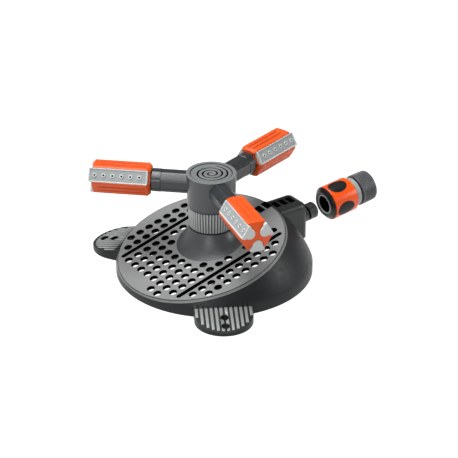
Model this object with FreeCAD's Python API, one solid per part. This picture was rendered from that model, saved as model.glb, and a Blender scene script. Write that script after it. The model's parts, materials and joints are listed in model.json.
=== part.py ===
"""Three-armed circular lawn sprinkler with turning nozzle heads and a hose connector.

Frame: origin on the rotor's spin axis at ground level, +Z up, +X towards the
water inlet. All sizes are in millimetres and degrees.
"""
import FreeCAD
import Part
import math
import os

V = FreeCAD.Vector

# ---- clearances -----------------------------------------------------------
RUN_FIT = 0.05          # radial clearance of every running fit
FREE_GAP = 0.5          # gap between faces that pass each other
ARM_GAP = 0.25          # open joint line between rotor head and arm
REACH = 400.0           # half size of the blocks that trim a shape

# ---- base shell -----------------------------------------------------------
SHELL_R = 95.0          # radius of the ground rim
SHELL_X = 3.2           # rim centre, ahead of the spin axis
LIP_H = 9.0             # height of the upright lip
DOME_BULGE = 7.7        # how much larger than the rim the skirt's sphere is
SHELL_WALL = 2.4
PLATE_TILT = 14.4       # the plate rises towards the inlet
PLATE_Z = 29.9          # height of the plate's centre
PLATE_T = 2.5
PLATE_SEAT = 4.0        # width of the ledge that carries the plate
DOME_R = SHELL_R + DOME_BULGE
DOME_Z = LIP_H - math.sqrt(DOME_R ** 2 - SHELL_R ** 2)
SLOPE = math.radians(PLATE_TILT)
PLATE_RISE = (PLATE_Z - DOME_Z) / math.cos(SLOPE)
PLATE_X = SHELL_X - PLATE_RISE * math.sin(SLOPE)
PLATE_R = math.sqrt(DOME_R ** 2 - PLATE_RISE ** 2)
PLATE_EDGE_X = PLATE_X + PLATE_R * math.cos(SLOPE)
PLATE_EDGE_Z = PLATE_Z + PLATE_R * math.sin(SLOPE)

# ---- inlet nipple and channel ---------------------------------------------
NIPPLE_R = 8.3
NIPPLE_WALL = 3.3
NIPPLE_LAND = 5.5       # plain collar before the locking groove
NIPPLE_GROOVE = 2.5
NIPPLE_DEPTH = 1.4      # depth of the two grooves
NIPPLE_RIDGE = 3.8
NIPPLE_TIP = 3.2
NIPPLE_ROUND = 1.2
NIPPLE_ROOT_L = 7.0     # length of the nipple's root inside the housing
NIPPLE_NECK = NIPPLE_R - NIPPLE_DEPTH
NIPPLE_BORE = NIPPLE_R - NIPPLE_WALL
CHANNEL_R = NIPPLE_R + 0.7
CHANNEL_BORE = NIPPLE_BORE + 1.0
FILTER_T = 1.2
FILTER_HOLE = 0.6
FILTER_RING = 2.1       # spacing of the screen's rings of holes

# ---- inlet housing --------------------------------------------------------
HOUSING_OUT = 8.3       # how far the housing stands out from the rim
HOUSING_WALL = 5.5
HOUSING_STEP = 3.3      # crest below the plate's high edge
HOUSING_FOOT = 8.0
HOUSING_FILLET = 7.0
HOUSING_HALF = CHANNEL_R + HOUSING_WALL
HOUSING_END = SHELL_X + SHELL_R + HOUSING_OUT
HOUSING_TOP = PLATE_EDGE_Z - HOUSING_STEP
INLET_LEAD = 3.5        # reference station ahead of the housing's end
INLET_X = HOUSING_END + INLET_LEAD
INLET_Z = 26.0
INLET_TILT = 6.0        # the inlet axis rises outwards
HOUSING_NOSE = INLET_Z + CHANNEL_R + 2.5     # lower end of the crest's round nose
HOUSING_ROUND = HOUSING_END - (HOUSING_TOP - HOUSING_NOSE)
NIPPLE_REACH = -INLET_LEAD / math.cos(math.radians(INLET_TILT))
NIPPLE_ROOT = NIPPLE_REACH - NIPPLE_ROOT_L
POCKET_L = 6.6
POCKET_HALF = 6.0
POCKET_D = 4.0
POCKET_X = [HOUSING_ROUND - back for back in (20.5, 12.0, 3.5)]
PLATE_POCKET_X = [PLATE_EDGE_X - back for back in (10.2, 1.9)]

# ---- ears with the ground-peg holes --------------------------------------
EAR_ANGLES = {"left": 120.0, "front": -120.0}
EAR_HALF = 27.5         # half width, and radius of the round end
EAR_REACH = 6.6         # centre of the round end outside the rim
EAR_TOP = 10.9          # height of the ear's top at the rim
EAR_FALL = 0.22         # drop of the top per millimetre outwards
EAR_WALL = 3.0
EAR_SKIN = 3.2
EAR_RIB_PITCH = 4.6
EAR_GROOVE_W = 1.8
EAR_GROOVE_D = 1.4
EAR_RIBS = 12
EAR_BORDER = 2.6        # plain edge round the ribbed field
PEG_R = 3.5
PEG_BOSS = 2.0          # wall round a peg hole
EAR_CENTRE = SHELL_R + EAR_REACH
PEG_POSITIONS = [SHELL_R + out for out in (13.7, 25.0)]

# ---- water column ---------------------------------------------------------
RISER_R = 7.5
RISER_WALL = 2.3
RISER_FOOT = 22.0       # height where the riser starts in the elbow
ELBOW_WALL = 5.5
RIB_T = 8.0
RIB_FOOT = 2.0          # ground clearance of the support ribs
CONE_FOOT_R = 34.4
CONE_TOP_R = 21.6
CONE_TOP = 47.8
CONE_WALL = 2.6
CONE_WAIST = 0.32       # share of the flare that is left at half height
SHOULDER_T = 1.8
WASHER_T = 0.7
RETAINER_T = 3.0
RISER_BORE = RISER_R - RISER_WALL
ELBOW_R = RISER_R + ELBOW_WALL
SHOULDER_R = RISER_R + 3.5
WASHER_R = SHOULDER_R + 1.0
RETAINER_R = SHOULDER_R

# ---- perforation ----------------------------------------------------------
HOLE_R = 4.0
HOLE_PITCH = 10.86
HOLE_START = 21.8       # first full column, from the plate's low edge
HOLE_ROWS = (0.5, 1.5, 2.5, 3.5, 5.09, 6.09)   # in pitches, on both sides
HOLE_EDGE = 4.6         # hole centre to plate edge, at least
HUB_CLEAR = 4.0         # hole centre to cone foot, at least
INLET_CLEAR = 30.0      # half width kept free of holes before the inlet
BARE_ROWS = (-0.5, 3.5)  # rows whose first hole is left out for a bare field
SLOT_ROW = 4.35         # in pitches
SLOT_W = 5.0
SLOT_EDGE = 2.2         # material left between slot end and plate edge
SLOT_Y = SLOT_ROW * HOLE_PITCH

# ---- flow collar ----------------------------------------------------------
COLLAR_GAP = 0.8        # open joint line under the collar
COLLAR_H = 22.2
COLLAR_R = (20.6, 21.8)     # root radius, bottom and top
COLLAR_WALL = 3.0
COLLAR_WEB = 4.0
COLLAR_RIBS = 48
COLLAR_RIB_H = 0.9
COLLAR_RIB_W = 1.4
THROTTLE_WALL = 2.0
COLLAR_Z = (CONE_TOP + COLLAR_GAP, CONE_TOP + COLLAR_GAP + COLLAR_H)

# ---- rotor ----------------------------------------------------------------
HEAD_H = 32.2
HEAD_R = (22.9, 24.0)       # radius, bottom and top
HEAD_WALL = 5.0
HEAD_FLOOR = 5.0
SEAL_RISE = 1.5
SEAL_T = 2.0
CAP_T = 3.4
CAP_RIM = 3.8           # width of the head's rim round the cap
CAP_GAP = 0.3
CAP_SINK = 0.5          # cap below the head's rim
SPIRAL_START = 3.0
SPIRAL_STEPS = 36       # points in one turn of the spiral
SPIRAL_PITCH = 5.6
SPIRAL_TURNS = 2.4
SPIRAL_W = 1.3
SPIRAL_D = 1.2
SEAL_R = RISER_R + 2.0
HEAD_CHAMBER_R = HEAD_R[1] - HEAD_WALL
CAP_R = HEAD_R[1] - CAP_RIM - CAP_GAP
HEAD_Z = (COLLAR_Z[1] + WASHER_T, COLLAR_Z[1] + WASHER_T + HEAD_H)
RISER_TOP = HEAD_Z[1] - 5.7

# ---- arms, 120 degrees apart ----------------------------------------------
ARM_DROP = 11.2         # arm axis below the head's top
ARM_ANGLES = (136.4, 16.4, -103.6)
ARM_APOTHEM = 10.3      # half width across the flats of the eight-sided arm
ARM_END = 56.6
ARM_RING_L = 9.6        # length of the slightly wider end ring
ARM_RING_R = 11.1
ARM_WATER_WALL = 3.4
PORT_R = 6.6            # spigot in the rotor head's wall
SPIGOT_R = 8.0
SPIGOT_L = 19.4
O_RING_BACK = 5.4       # from the arm's end to the O-ring
O_RING_W = 2.4
CLIP_BACK = 15.9        # from the arm's end to the retaining clip
CLIP_T = 1.5
CLIP_LIP = 0.9          # clip standing out from the spigot
CLIP_PLAY = 0.2
SPIGOT_DEPTH = 1.2      # depth of the spigot's grooves
ARM_Z = HEAD_Z[1] - ARM_DROP
ARM_RING = ARM_END - ARM_RING_L
ARM_BORE = SPIGOT_R - ARM_WATER_WALL
SPIGOT_NECK = SPIGOT_R - SPIGOT_DEPTH
SPIGOT_END = ARM_END + SPIGOT_L
O_RING_AT = ARM_END + O_RING_BACK
CLIP_AT = ARM_END + CLIP_BACK
CLIP_R = SPIGOT_R + CLIP_LIP

# ---- nozzle heads ---------------------------------------------------------
NOZZLE_GAP = 0.4
NOZZLE_L = 58.0
NOZZLE_END_R = 6.0      # flat middle of the head's far end
NOZZLE_END_FALL = 2.8   # how far the head's corners lie behind that middle
NOZZLE_APOTHEM = 14.2
NOZZLE_CHAMBER = 6.4
NEAR_BEVEL = 3.4
STRIP_BACK = 2.0        # start of the strips behind the head's start
STRIP_OUT = 1.0         # strips stand out from the head's far end
STRIP_HALF = 6.9
STRIP_WALL = 1.1        # head material under a strip
STRIP_INSET = 0.6       # strip floor below its rim
STRIP_RIM = 1.1
PETAL_L = 12.0          # full-depth end of a strip
PETAL_R = 5.0
PETAL_X = 8.4
PETAL_SHOULDER = 11.6
CHAMBER_BACK = 16.0     # closed end of the water chamber, from the strips' end
JET_COUNT = 6
JET_BACK = 8.0          # first jet behind the strip's start
JET_PITCH = 8.6
JET_R = 2.4
JET_BORE = 0.7
NOZZLE_START = ARM_END + NOZZLE_GAP
NOZZLE_END = NOZZLE_START + NOZZLE_L
STRIP_START = NOZZLE_START + STRIP_BACK
STRIP_END = NOZZLE_END + STRIP_OUT
STRIP_FLOOR = CLIP_R + CLIP_PLAY + STRIP_WALL
PETAL_START = STRIP_END - PETAL_L
CHAMBER_END = STRIP_END - CHAMBER_BACK
JET_START = STRIP_START + JET_BACK

# ---- hose connector, drawn off the nipple ---------------------------------
CONN_GAP = 12.2         # from the nipple's tip to the connector's front
CONN_FRONT = 0.6        # core's front edge behind the bezel's
SOCKET_PLAY = 0.6       # radial room round the nipple
CONN_SOCKET_L = 19.0
CONN_FRONT_WALL = 1.3
CONN_GUIDE_WALL = 5.4
CONN_GUIDE_AT = 10.0
CONN_COLLAR_END = 37.7
CONN_THREAD_WALL = 2.35
CONN_THREAD_END = 48.6
CONN_BORE = 4.5
BARB_WALL = 2.0
BARB_L = 7.0
BARB_TEETH = 3
BARB_RISE = 0.7
SLEEVE_WALL = 3.05
SLEEVE_END = 31.5
SLEEVE_LIP = 0.4
SLEEVE_EDGE = 1.1       # bevel height at the sleeve's ends
SLEEVE_ROUND = 2.5      # bevel length at the sleeve's ends
BEZEL_T = 2.6
SEAL_AT = 11.5
CLAW_AT = 2.9
RING_W = 2.6
RING_T = 0.8
NUT_AT = 39.2
NUT_END = 56.2
NUT_WALLS = (3.85, 3.55)    # over the thread, front and rear
NUT_TAPER = 2.5
HOSE_WALL = 2.4         # room for the hose round the barb
PAD_ANGLES = (12.0, 102.0, 192.0, 282.0)
PAD_AT = 15.0
PAD_LENGTH = 22.0
PAD_HALF = 8.8
PAD_T = 1.4
CONN_AT = (NIPPLE_REACH + NIPPLE_LAND + 2 * NIPPLE_GROOVE + NIPPLE_RIDGE + NIPPLE_TIP
           + CONN_GAP)
CONN_SOCKET_R = NIPPLE_R + SOCKET_PLAY
CONN_FRONT_R = CONN_SOCKET_R + CONN_FRONT_WALL
CONN_GUIDE_R = CONN_SOCKET_R + CONN_GUIDE_WALL
CONN_THREAD_R = CONN_GUIDE_R - CONN_THREAD_WALL
CONN_BARB_R = CONN_BORE + BARB_WALL
SLEEVE_R = CONN_GUIDE_R + RUN_FIT + SLEEVE_WALL
SLEEVE_FRONT_R = SLEEVE_R - SLEEVE_EDGE
BEZEL_R = (CONN_FRONT_R + 0.4, SLEEVE_FRONT_R - 0.95)
NUT_R = (CONN_THREAD_R + NUT_WALLS[0], CONN_THREAD_R + NUT_WALLS[1])
HOSE_R = CONN_BARB_R + HOSE_WALL


def turned(points):
    """Solid of revolution about Z from (radius, height) points."""
    wire = Part.makePolygon([V(r, 0, z) for r, z in points + points[:1]])
    return Part.Face(wire).revolve(V(0, 0, 0), V(0, 0, 1), 360)


def ring(outer, inner, low, high):
    """Plain tube about Z."""
    return turned([(inner, low), (outer, low), (outer, high), (inner, high)])


def rod(radius, low, high):
    """Plain cylinder about Z."""
    return Part.makeCylinder(radius, high - low, V(0, 0, low))


def slab(x0, x1, y0, y1, z0, z1):
    """Box from its six limits."""
    return Part.makeBox(x1 - x0, y1 - y0, z1 - z0, V(x0, y0, z0))


def prism(points, low, high):
    """Upright prism over a closed (x, y) outline."""
    wire = Part.makePolygon([V(x, y, low) for x, y in points + points[:1]])
    return Part.Face(wire).extrude(V(0, 0, high - low))


def placed(shape, origin, axis, angle):
    """Copy of a shape, turned about an axis and then moved to an origin."""
    place = FreeCAD.Placement(origin, FreeCAD.Rotation(axis, angle))
    return shape.transformed(place.toMatrix(), True)


def on_x(shape):
    """Lay a shape built about Z along +X."""
    return placed(shape, V(0, 0, 0), V(0, 1, 0), 90)


def on_plate(shape):
    """From the plate's frame (z = 0 on its top face) to the part frame."""
    return placed(shape, V(PLATE_X, 0, PLATE_Z), V(0, 1, 0), -PLATE_TILT)


def on_inlet(shape):
    """From the inlet's frame (+X along the nipple) to the part frame."""
    return placed(shape, V(INLET_X, 0, INLET_Z), V(0, 1, 0), -INLET_TILT)


def inlet_turned(points):
    """Turned piece along the inlet, from (station, radius) points."""
    return on_inlet(on_x(turned([(r, s) for s, r in points])))


def inlet_tube(start, end, outer, inner):
    """Tube along the inlet axis."""
    return inlet_turned([(start, inner), (start, outer), (end, outer), (end, inner)])


def on_arm(shape, angle):
    """From an arm's frame (+X along the arm) to the part frame."""
    return placed(shape, V(0, 0, ARM_Z), V(0, 0, 1), angle)


def on_ear(shape, angle):
    """From an ear's frame (+X outwards from the rim centre) to the part frame."""
    return placed(shape, V(SHELL_X, 0, 0), V(0, 0, 1), angle)


def below_plate(depth):
    """Everything lower than a plane at this depth under the plate's top."""
    return on_plate(slab(-REACH, REACH, -REACH, REACH, -2 * REACH, -depth))


def above_plate(depth):
    """Everything higher than a plane at this depth under the plate's top."""
    return on_plate(slab(-REACH, REACH, -REACH, REACH, -depth, 2 * REACH))


def dome(inset, floor):
    """Skirt volume: sphere and upright lip, moved in by an inset."""
    ball = Part.makeSphere(DOME_R - inset, V(SHELL_X, 0, DOME_Z))
    lip = Part.makeCylinder(SHELL_R - inset, REACH, V(SHELL_X, 0, floor))
    return ball.common(lip)


def plate_height(x):
    """Height of the plate's top face above ground at x."""
    return PLATE_Z + (x - PLATE_X) * math.tan(SLOPE)


def inlet_height(x):
    """Height of the inlet axis above ground at x."""
    return INLET_Z + (x - INLET_X) * math.tan(math.radians(INLET_TILT))


# ---- base -----------------------------------------------------------------
def base_skirt():
    """Round skirt with its ledge for the plate and a gate for the channel."""
    ledge_depth = PLATE_T + SHELL_WALL
    inner = dome(SHELL_WALL, -1.0).common(below_plate(ledge_depth))
    shape = dome(0.0, 0.0).common(below_plate(PLATE_T)).cut(inner)
    opening = on_plate(rod(PLATE_R - PLATE_SEAT, -ledge_depth - 1.0, 1.0))
    return shape.cut([opening.common(dome(SHELL_WALL, -1.0)), inlet_bore()])


def hole_centres():
    """Perforation pattern in the plate's frame, as (u, v) pairs."""
    hub_u = -PLATE_X / math.cos(SLOPE)
    columns = int(2 * PLATE_R / HOLE_PITCH)
    centres = []
    for row in [sign * row for row in HOLE_ROWS for sign in (1, -1)]:
        for column in range(-1, columns):
            u = HOLE_START - PLATE_R + column * HOLE_PITCH
            v = row * HOLE_PITCH
            bare = column < 0 and BARE_ROWS[0] <= row <= BARE_ROWS[1]
            before_inlet = u > hub_u and abs(v) < INLET_CLEAR
            near_hub = math.hypot(u - hub_u, v) < CONE_FOOT_R + HUB_CLEAR
            outside = math.hypot(u, v) > PLATE_R - HOLE_EDGE
            if not (bare or before_inlet or near_hub or outside):
                centres.append((u, v))
    return centres


def slot_half_length():
    """Half length of a plate slot between the centres of its round ends."""
    reach = (PLATE_R - SLOT_EDGE) ** 2 - (SLOT_Y + SLOT_W / 2) ** 2
    return math.sqrt(reach) - SLOT_W / 2


def perforated_plate():
    """Sloping top plate with its grid of holes and two long slots."""
    shape = dome(0.0, 0.0).common(below_plate(0.0)).common(above_plate(PLATE_T))
    half = slot_half_length()
    low = -2 * PLATE_T
    cutters = []
    for u, v in hole_centres():
        cutters.append(Part.makeCylinder(HOLE_R, 3 * PLATE_T, V(u, v, low)))
    for y in (-SLOT_Y, SLOT_Y):
        cutters.append(slab(-half, half, y - SLOT_W / 2, y + SLOT_W / 2, low, PLATE_T))
        for end in (-half, half):
            cutters.append(Part.makeCylinder(SLOT_W / 2, 3 * PLATE_T, V(end, y, low)))
    shape = shape.cut([on_plate(cutter) for cutter in cutters])
    pockets = [pocket(x, plate_height(x) - PLATE_T / 2) for x in PLATE_POCKET_X]
    return shape.cut(pockets + [rod(ELBOW_R + RUN_FIT, 0.0, REACH)])


def pocket(x, floor):
    """Cutter for one rectangular recess of the row along the crest."""
    return slab(x - POCKET_L / 2, x + POCKET_L / 2, -POCKET_HALF, POCKET_HALF, floor, REACH)


def inlet_bore():
    """Passage for the water channel and the root of the nipple."""
    return inlet_tube(-INLET_X, NIPPLE_REACH + NIPPLE_LAND, CHANNEL_R + RUN_FIT, 0.0)


def inlet_housing():
    """Rounded hump between the plate's high edge and the nipple."""
    inside = PLATE_X + PLATE_R / 2
    knee = (HOUSING_END - HOUSING_ROUND) * math.sin(math.pi / 4)
    start = V(HOUSING_ROUND, -HOUSING_HALF, HOUSING_TOP)
    middle = V(HOUSING_ROUND + knee, -HOUSING_HALF, HOUSING_NOSE + knee)
    corners = [V(HOUSING_END, -HOUSING_HALF, HOUSING_NOSE),
               V(HOUSING_END, -HOUSING_HALF, HOUSING_FOOT),
               V(inside, -HOUSING_HALF, HOUSING_FOOT),
               V(inside, -HOUSING_HALF, HOUSING_TOP), start]
    edges = [Part.makeLine(a, b) for a, b in zip(corners, corners[1:])]
    edges.append(Part.Arc(start, middle, corners[0]).toShape())
    face = Part.Face(Part.Wire(Part.__sortEdges__(edges)))
    block = face.extrude(V(0, 2 * HOUSING_HALF, 0))
    crest = [edge for edge in block.Edges
             if edge.BoundBox.ZMin > HOUSING_NOSE - 1 and edge.BoundBox.YLength < 1]
    block = block.makeFillet(HOUSING_FILLET, crest)
    pockets = [pocket(x, HOUSING_TOP - POCKET_D) for x in POCKET_X]
    shape = block.cut([dome(0.0, -1.0).common(below_plate(0.0)), inlet_bore()] + pockets)
    return max(shape.Solids, key=lambda solid: solid.BoundBox.XMax)


def inlet_channel():
    """Water tube from the nipple's root to the elbow."""
    tube = inlet_tube(-INLET_X, NIPPLE_ROOT, CHANNEL_R, CHANNEL_BORE)
    return tube.cut(rod(ELBOW_R, -REACH, REACH))


def nipple_stations():
    """Stations along the nipple: root, collar end, ridge, seal groove, tip."""
    stations = [NIPPLE_ROOT, NIPPLE_REACH]
    for length in (NIPPLE_LAND, NIPPLE_GROOVE, NIPPLE_RIDGE, NIPPLE_GROOVE, NIPPLE_TIP):
        stations.append(stations[-1] + length)
    return stations


def inlet_nipple():
    """Quick-coupling nipple with a locking groove and a seal groove."""
    root, foot, collar, ridge, seal, nose, tip = nipple_stations()
    return inlet_turned([
        (root, NIPPLE_BORE), (root, CHANNEL_R), (foot, CHANNEL_R), (foot, NIPPLE_R),
        (collar, NIPPLE_R), (collar, NIPPLE_NECK), (ridge, NIPPLE_NECK), (ridge, NIPPLE_R),
        (seal, NIPPLE_R), (seal, NIPPLE_NECK), (nose, NIPPLE_NECK), (nose, NIPPLE_R),
        (tip - NIPPLE_ROUND, NIPPLE_R), (tip, NIPPLE_R - NIPPLE_ROUND), (tip, NIPPLE_BORE)])


def nipple_o_ring():
    """Seal in the groove behind the nipple's tip."""
    seal, nose = nipple_stations()[4:6]
    return inlet_tube(seal, nose, NIPPLE_R - RUN_FIT, NIPPLE_NECK)


def filter_screen():
    """Perforated disc that rests against the nipple's root."""
    disc = inlet_tube(NIPPLE_ROOT - FILTER_T, NIPPLE_ROOT, CHANNEL_BORE - RUN_FIT, 0.0)
    cutters = []
    for count, radius in ((1, 0.0), (6, FILTER_RING), (12, 2 * FILTER_RING)):
        for index in range(count):
            angle = 2 * math.pi * index / count
            spot = V(radius * math.cos(angle), radius * math.sin(angle), NIPPLE_ROOT - 2 * FILTER_T)
            cutters.append(on_inlet(on_x(Part.makeCylinder(FILTER_HOLE, 3 * FILTER_T, spot))))
    return disc.cut(cutters)


def water_elbow():
    """Block on the ground that turns the water from the channel to the riser."""
    shape = rod(ELBOW_R, 0.0, REACH).common(below_plate(0.0))
    across = inlet_tube(-INLET_X, NIPPLE_ROOT, CHANNEL_BORE, 0.0)
    up = rod(RISER_BORE, inlet_height(0.0), RISER_FOOT)
    return shape.cut([across, up, rod(RISER_R, RISER_FOOT, REACH)])


def support_rib(angle):
    """Rib under the plate, from the elbow to the skirt."""
    bar = slab(0.0, 2 * SHELL_R, -RIB_T / 2, RIB_T / 2, RIB_FOOT, REACH)
    bar = placed(bar, V(0, 0, 0), V(0, 0, 1), angle)
    room = dome(SHELL_WALL, 0.0).common(below_plate(PLATE_T + SHELL_WALL))
    return bar.common(room).cut(rod(ELBOW_R, -REACH, REACH))


def below_ear_top(depth):
    """Everything lower than a plane under the sloping top of an ear."""
    block = slab(-REACH, REACH, -REACH, REACH, -REACH, -depth)
    return placed(block, V(SHELL_R, 0, EAR_TOP), V(0, 1, 0), math.degrees(math.atan(EAR_FALL)))


def ear_outline(inset, start, low):
    """Round-ended ear volume, moved in by an inset."""
    half = EAR_HALF - inset
    tongue = slab(start, EAR_CENTRE, -half, half, low, REACH)
    return tongue.fuse(Part.makeCylinder(half, REACH - low, V(EAR_CENTRE, 0, low)))


def ear(angle):
    """Ribbed ear with two holes for ground pegs."""
    start = EAR_CENTRE - EAR_HALF
    shape = ear_outline(0.0, start, 0.0).common(below_ear_top(0.0))
    room = ear_outline(EAR_WALL, SHELL_R + EAR_WALL, -1.0).common(below_ear_top(EAR_SKIN))
    shape = shape.cut(room.common(slab(SHELL_R + EAR_WALL, REACH, -REACH, REACH, -1, REACH)))
    bosses = []
    holes = []
    for x in PEG_POSITIONS:
        boss = Part.makeCylinder(PEG_R + PEG_BOSS, REACH, V(x, 0, 0))
        bosses.append(boss.common(below_ear_top(EAR_SKIN / 2)))
        holes.append(Part.makeCylinder(PEG_R, 2 * REACH, V(x, 0, -REACH)))
    shape = shape.fuse(bosses)
    field = ear_outline(EAR_BORDER, start, 0.0).cut(below_ear_top(EAR_GROOVE_D))
    for index in range(EAR_RIBS - 1):
        y = (index - (EAR_RIBS - 2) / 2) * EAR_RIB_PITCH
        groove = slab(0.0, REACH, y - EAR_GROOVE_W / 2, y + EAR_GROOVE_W / 2, 0.0, REACH)
        shape = shape.cut(groove.common(field))
    shape = on_ear(shape.cut(holes), angle)
    shape = shape.cut(dome(0.0, -1.0))
    return max(shape.Solids, key=lambda solid: solid.Volume)


# ---- water column ---------------------------------------------------------
def circle_wire(radius, height, tilt):
    """Circle round the spin axis, tilted like the plate by a share."""
    circle = Part.Wire(Part.makeCircle(radius))
    return placed(circle, V(0, 0, height), V(0, 1, 0), -PLATE_TILT * tilt)


def flare(inset, foot, top):
    """Concave cone from the tilted plate to a level top."""
    waist_r = CONE_TOP_R + (CONE_FOOT_R - CONE_TOP_R) * CONE_WAIST
    waist = foot + (top - foot) / 2
    wires = [circle_wire(CONE_FOOT_R - inset, foot, 1.0),
             circle_wire(waist_r - inset, waist, 0.5),
             circle_wire(CONE_TOP_R - inset, top, 0.0)]
    return Part.makeLoft(wires, True)


def hub_cone():
    """Hollow flared foot of the water column."""
    foot = plate_height(0.0)
    shape = flare(0.0, foot, CONE_TOP).cut(flare(CONE_WALL, foot, CONE_TOP - CONE_WALL))
    return shape.cut(rod(RISER_R + RUN_FIT, 0.0, REACH))


def riser_tube():
    """Fixed stand pipe; its shoulder carries the rotor."""
    shoulder = HEAD_Z[0] - RUN_FIT - WASHER_T
    return turned([(RISER_BORE, RISER_FOOT), (RISER_R, RISER_FOOT),
                   (RISER_R, shoulder - SHOULDER_T), (SHOULDER_R, shoulder - SHOULDER_T),
                   (SHOULDER_R, shoulder), (RISER_R, shoulder),
                   (RISER_R, RISER_TOP), (RISER_BORE, RISER_TOP)])


def bearing_washer():
    """Low-friction washer between the riser's shoulder and the rotor."""
    top = HEAD_Z[0] - RUN_FIT
    return ring(WASHER_R, RISER_R, top - WASHER_T, top)


def rotor_retainer():
    """Ring pressed on the riser above the rotor's floor."""
    low = HEAD_Z[0] + HEAD_FLOOR + FREE_GAP
    return ring(RETAINER_R, RISER_R, low, low + RETAINER_T)


# ---- flow collar ----------------------------------------------------------
def flow_collar():
    """Ribbed ring that is turned by hand to set the flow."""
    low, high = COLLAR_Z
    below, above = COLLAR_R
    web = low + COLLAR_WEB
    shape = turned([(RISER_R + RUN_FIT, low), (below, low), (above, high),
                    (above - COLLAR_WALL, high), (below - COLLAR_WALL, web),
                    (RISER_R + RUN_FIT, web)])
    grip = [V(below - 0.5, -COLLAR_RIB_W / 2, low), V(below + COLLAR_RIB_H, -COLLAR_RIB_W / 2, low),
            V(above + COLLAR_RIB_H, -COLLAR_RIB_W / 2, high),
            V(above - 0.5, -COLLAR_RIB_W / 2, high)]
    rib = Part.Face(Part.makePolygon(grip + grip[:1])).extrude(V(0, COLLAR_RIB_W, 0))
    ribs = [placed(rib, V(0, 0, 0), V(0, 0, 1), 360.0 * index / COLLAR_RIBS)
            for index in range(COLLAR_RIBS)]
    return shape.fuse(ribs)


def throttle_sleeve():
    """Inner sleeve that turns with the collar and covers the riser's ports."""
    low = COLLAR_Z[0] + COLLAR_WEB
    high = HEAD_Z[0] - WASHER_T - SHOULDER_T - 2 * FREE_GAP
    return ring(RISER_R + RUN_FIT + THROTTLE_WALL, RISER_R + RUN_FIT, low, high)


# ---- rotor ----------------------------------------------------------------
def rotor_envelope(gap):
    """Outer shape of the rotor head, grown by a gap."""
    low, high = HEAD_Z
    return turned([(0.0, low - gap), (HEAD_R[0] + gap, low - gap),
                   (HEAD_R[1] + gap, high + gap), (0.0, high + gap)])


def rotor_head():
    """Round distributor with three side ports and a seat for the cap."""
    low, high = HEAD_Z
    floor = low + HEAD_FLOOR
    chamber = rod(HEAD_CHAMBER_R, floor, high + 1)
    seat = rod(CAP_R + CAP_GAP, high - CAP_T - CAP_SINK, high + 1)
    seal_seat = rod(SEAL_R, low + SEAL_RISE, low + SEAL_RISE + SEAL_T)
    bore = rod(RISER_R + RUN_FIT, low - 1, high)
    ports = [on_arm(on_x(rod(PORT_R + RUN_FIT, 0.0, 2 * HEAD_R[1])), angle)
             for angle in ARM_ANGLES]
    return rotor_envelope(0.0).cut([chamber, seat, seal_seat, bore] + ports)


def rotor_seal():
    """Lip seal in the rotor's floor."""
    low = HEAD_Z[0] + SEAL_RISE
    return ring(SEAL_R, RISER_R + RUN_FIT, low, low + SEAL_T)


def spiral_point(turn, offset):
    """Point of the cap's spiral after a number of turns."""
    angle = 2 * math.pi * turn
    radius = SPIRAL_START + SPIRAL_PITCH * turn + offset
    return (radius * math.cos(angle), radius * math.sin(angle))


def spiral_cap():
    """Lid of the rotor head with a spiral groove."""
    high = HEAD_Z[1] - CAP_SINK
    steps = int(SPIRAL_TURNS * SPIRAL_STEPS)
    turns = [index / SPIRAL_STEPS for index in range(steps + 1)]
    outline = [spiral_point(turn, SPIRAL_W / 2) for turn in turns]
    outline += [spiral_point(turn, -SPIRAL_W / 2) for turn in reversed(turns)]
    return rod(CAP_R, high - CAP_T, high).cut(prism(outline, high - SPIRAL_D, high + 1))


# ---- arms -----------------------------------------------------------------
def arm_turned(points, angle):
    """Turned piece along an arm, from (station, radius) points."""
    return on_arm(on_x(turned([(r, s) for s, r in points])), angle)


def arm_tube(angle):
    """Arm with its end ring and the spigot that the nozzle head turns on."""
    inner = HEAD_CHAMBER_R
    seal = O_RING_AT + O_RING_W
    clip = CLIP_AT + CLIP_T
    corner = ARM_APOTHEM / math.cos(math.pi / 8)
    turns = [math.pi / 8 + math.pi / 4 * k for k in range(8)]
    points = [V(inner, corner * math.cos(t), corner * math.sin(t)) for t in turns]
    bar = Part.Face(Part.makePolygon(points + points[:1])).extrude(V(ARM_END - inner, 0, 0))
    spigot = arm_turned([
        (ARM_RING, 0.0), (ARM_RING, ARM_RING_R),
        (ARM_END, ARM_RING_R), (ARM_END, SPIGOT_R), (O_RING_AT, SPIGOT_R),
        (O_RING_AT, SPIGOT_NECK), (seal, SPIGOT_NECK), (seal, SPIGOT_R),
        (CLIP_AT, SPIGOT_R), (CLIP_AT, SPIGOT_NECK), (clip, SPIGOT_NECK),
        (clip, SPIGOT_R), (SPIGOT_END, SPIGOT_R), (SPIGOT_END, 0.0)], angle)
    root = on_arm(on_x(rod(PORT_R, inner, ARM_RING)), angle)
    water = on_arm(on_x(rod(ARM_BORE, 0.0, NOZZLE_END)), angle)
    main = on_arm(bar, angle).cut(rotor_envelope(ARM_GAP))
    return main.fuse([root, spigot]).cut(water).removeSplitter()


def arm_o_ring(angle):
    """Seal between an arm's spigot and its nozzle head."""
    end = O_RING_AT + O_RING_W
    return arm_turned([(O_RING_AT, SPIGOT_NECK), (O_RING_AT, SPIGOT_R),
                       (end, SPIGOT_R), (end, SPIGOT_NECK)], angle)


def arm_clip(angle):
    """Split-free retaining ring that holds the nozzle head on its arm."""
    end = CLIP_AT + CLIP_T
    return arm_turned([(CLIP_AT, SPIGOT_NECK), (CLIP_AT, CLIP_R),
                       (end, CLIP_R), (end, SPIGOT_NECK)], angle)


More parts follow.
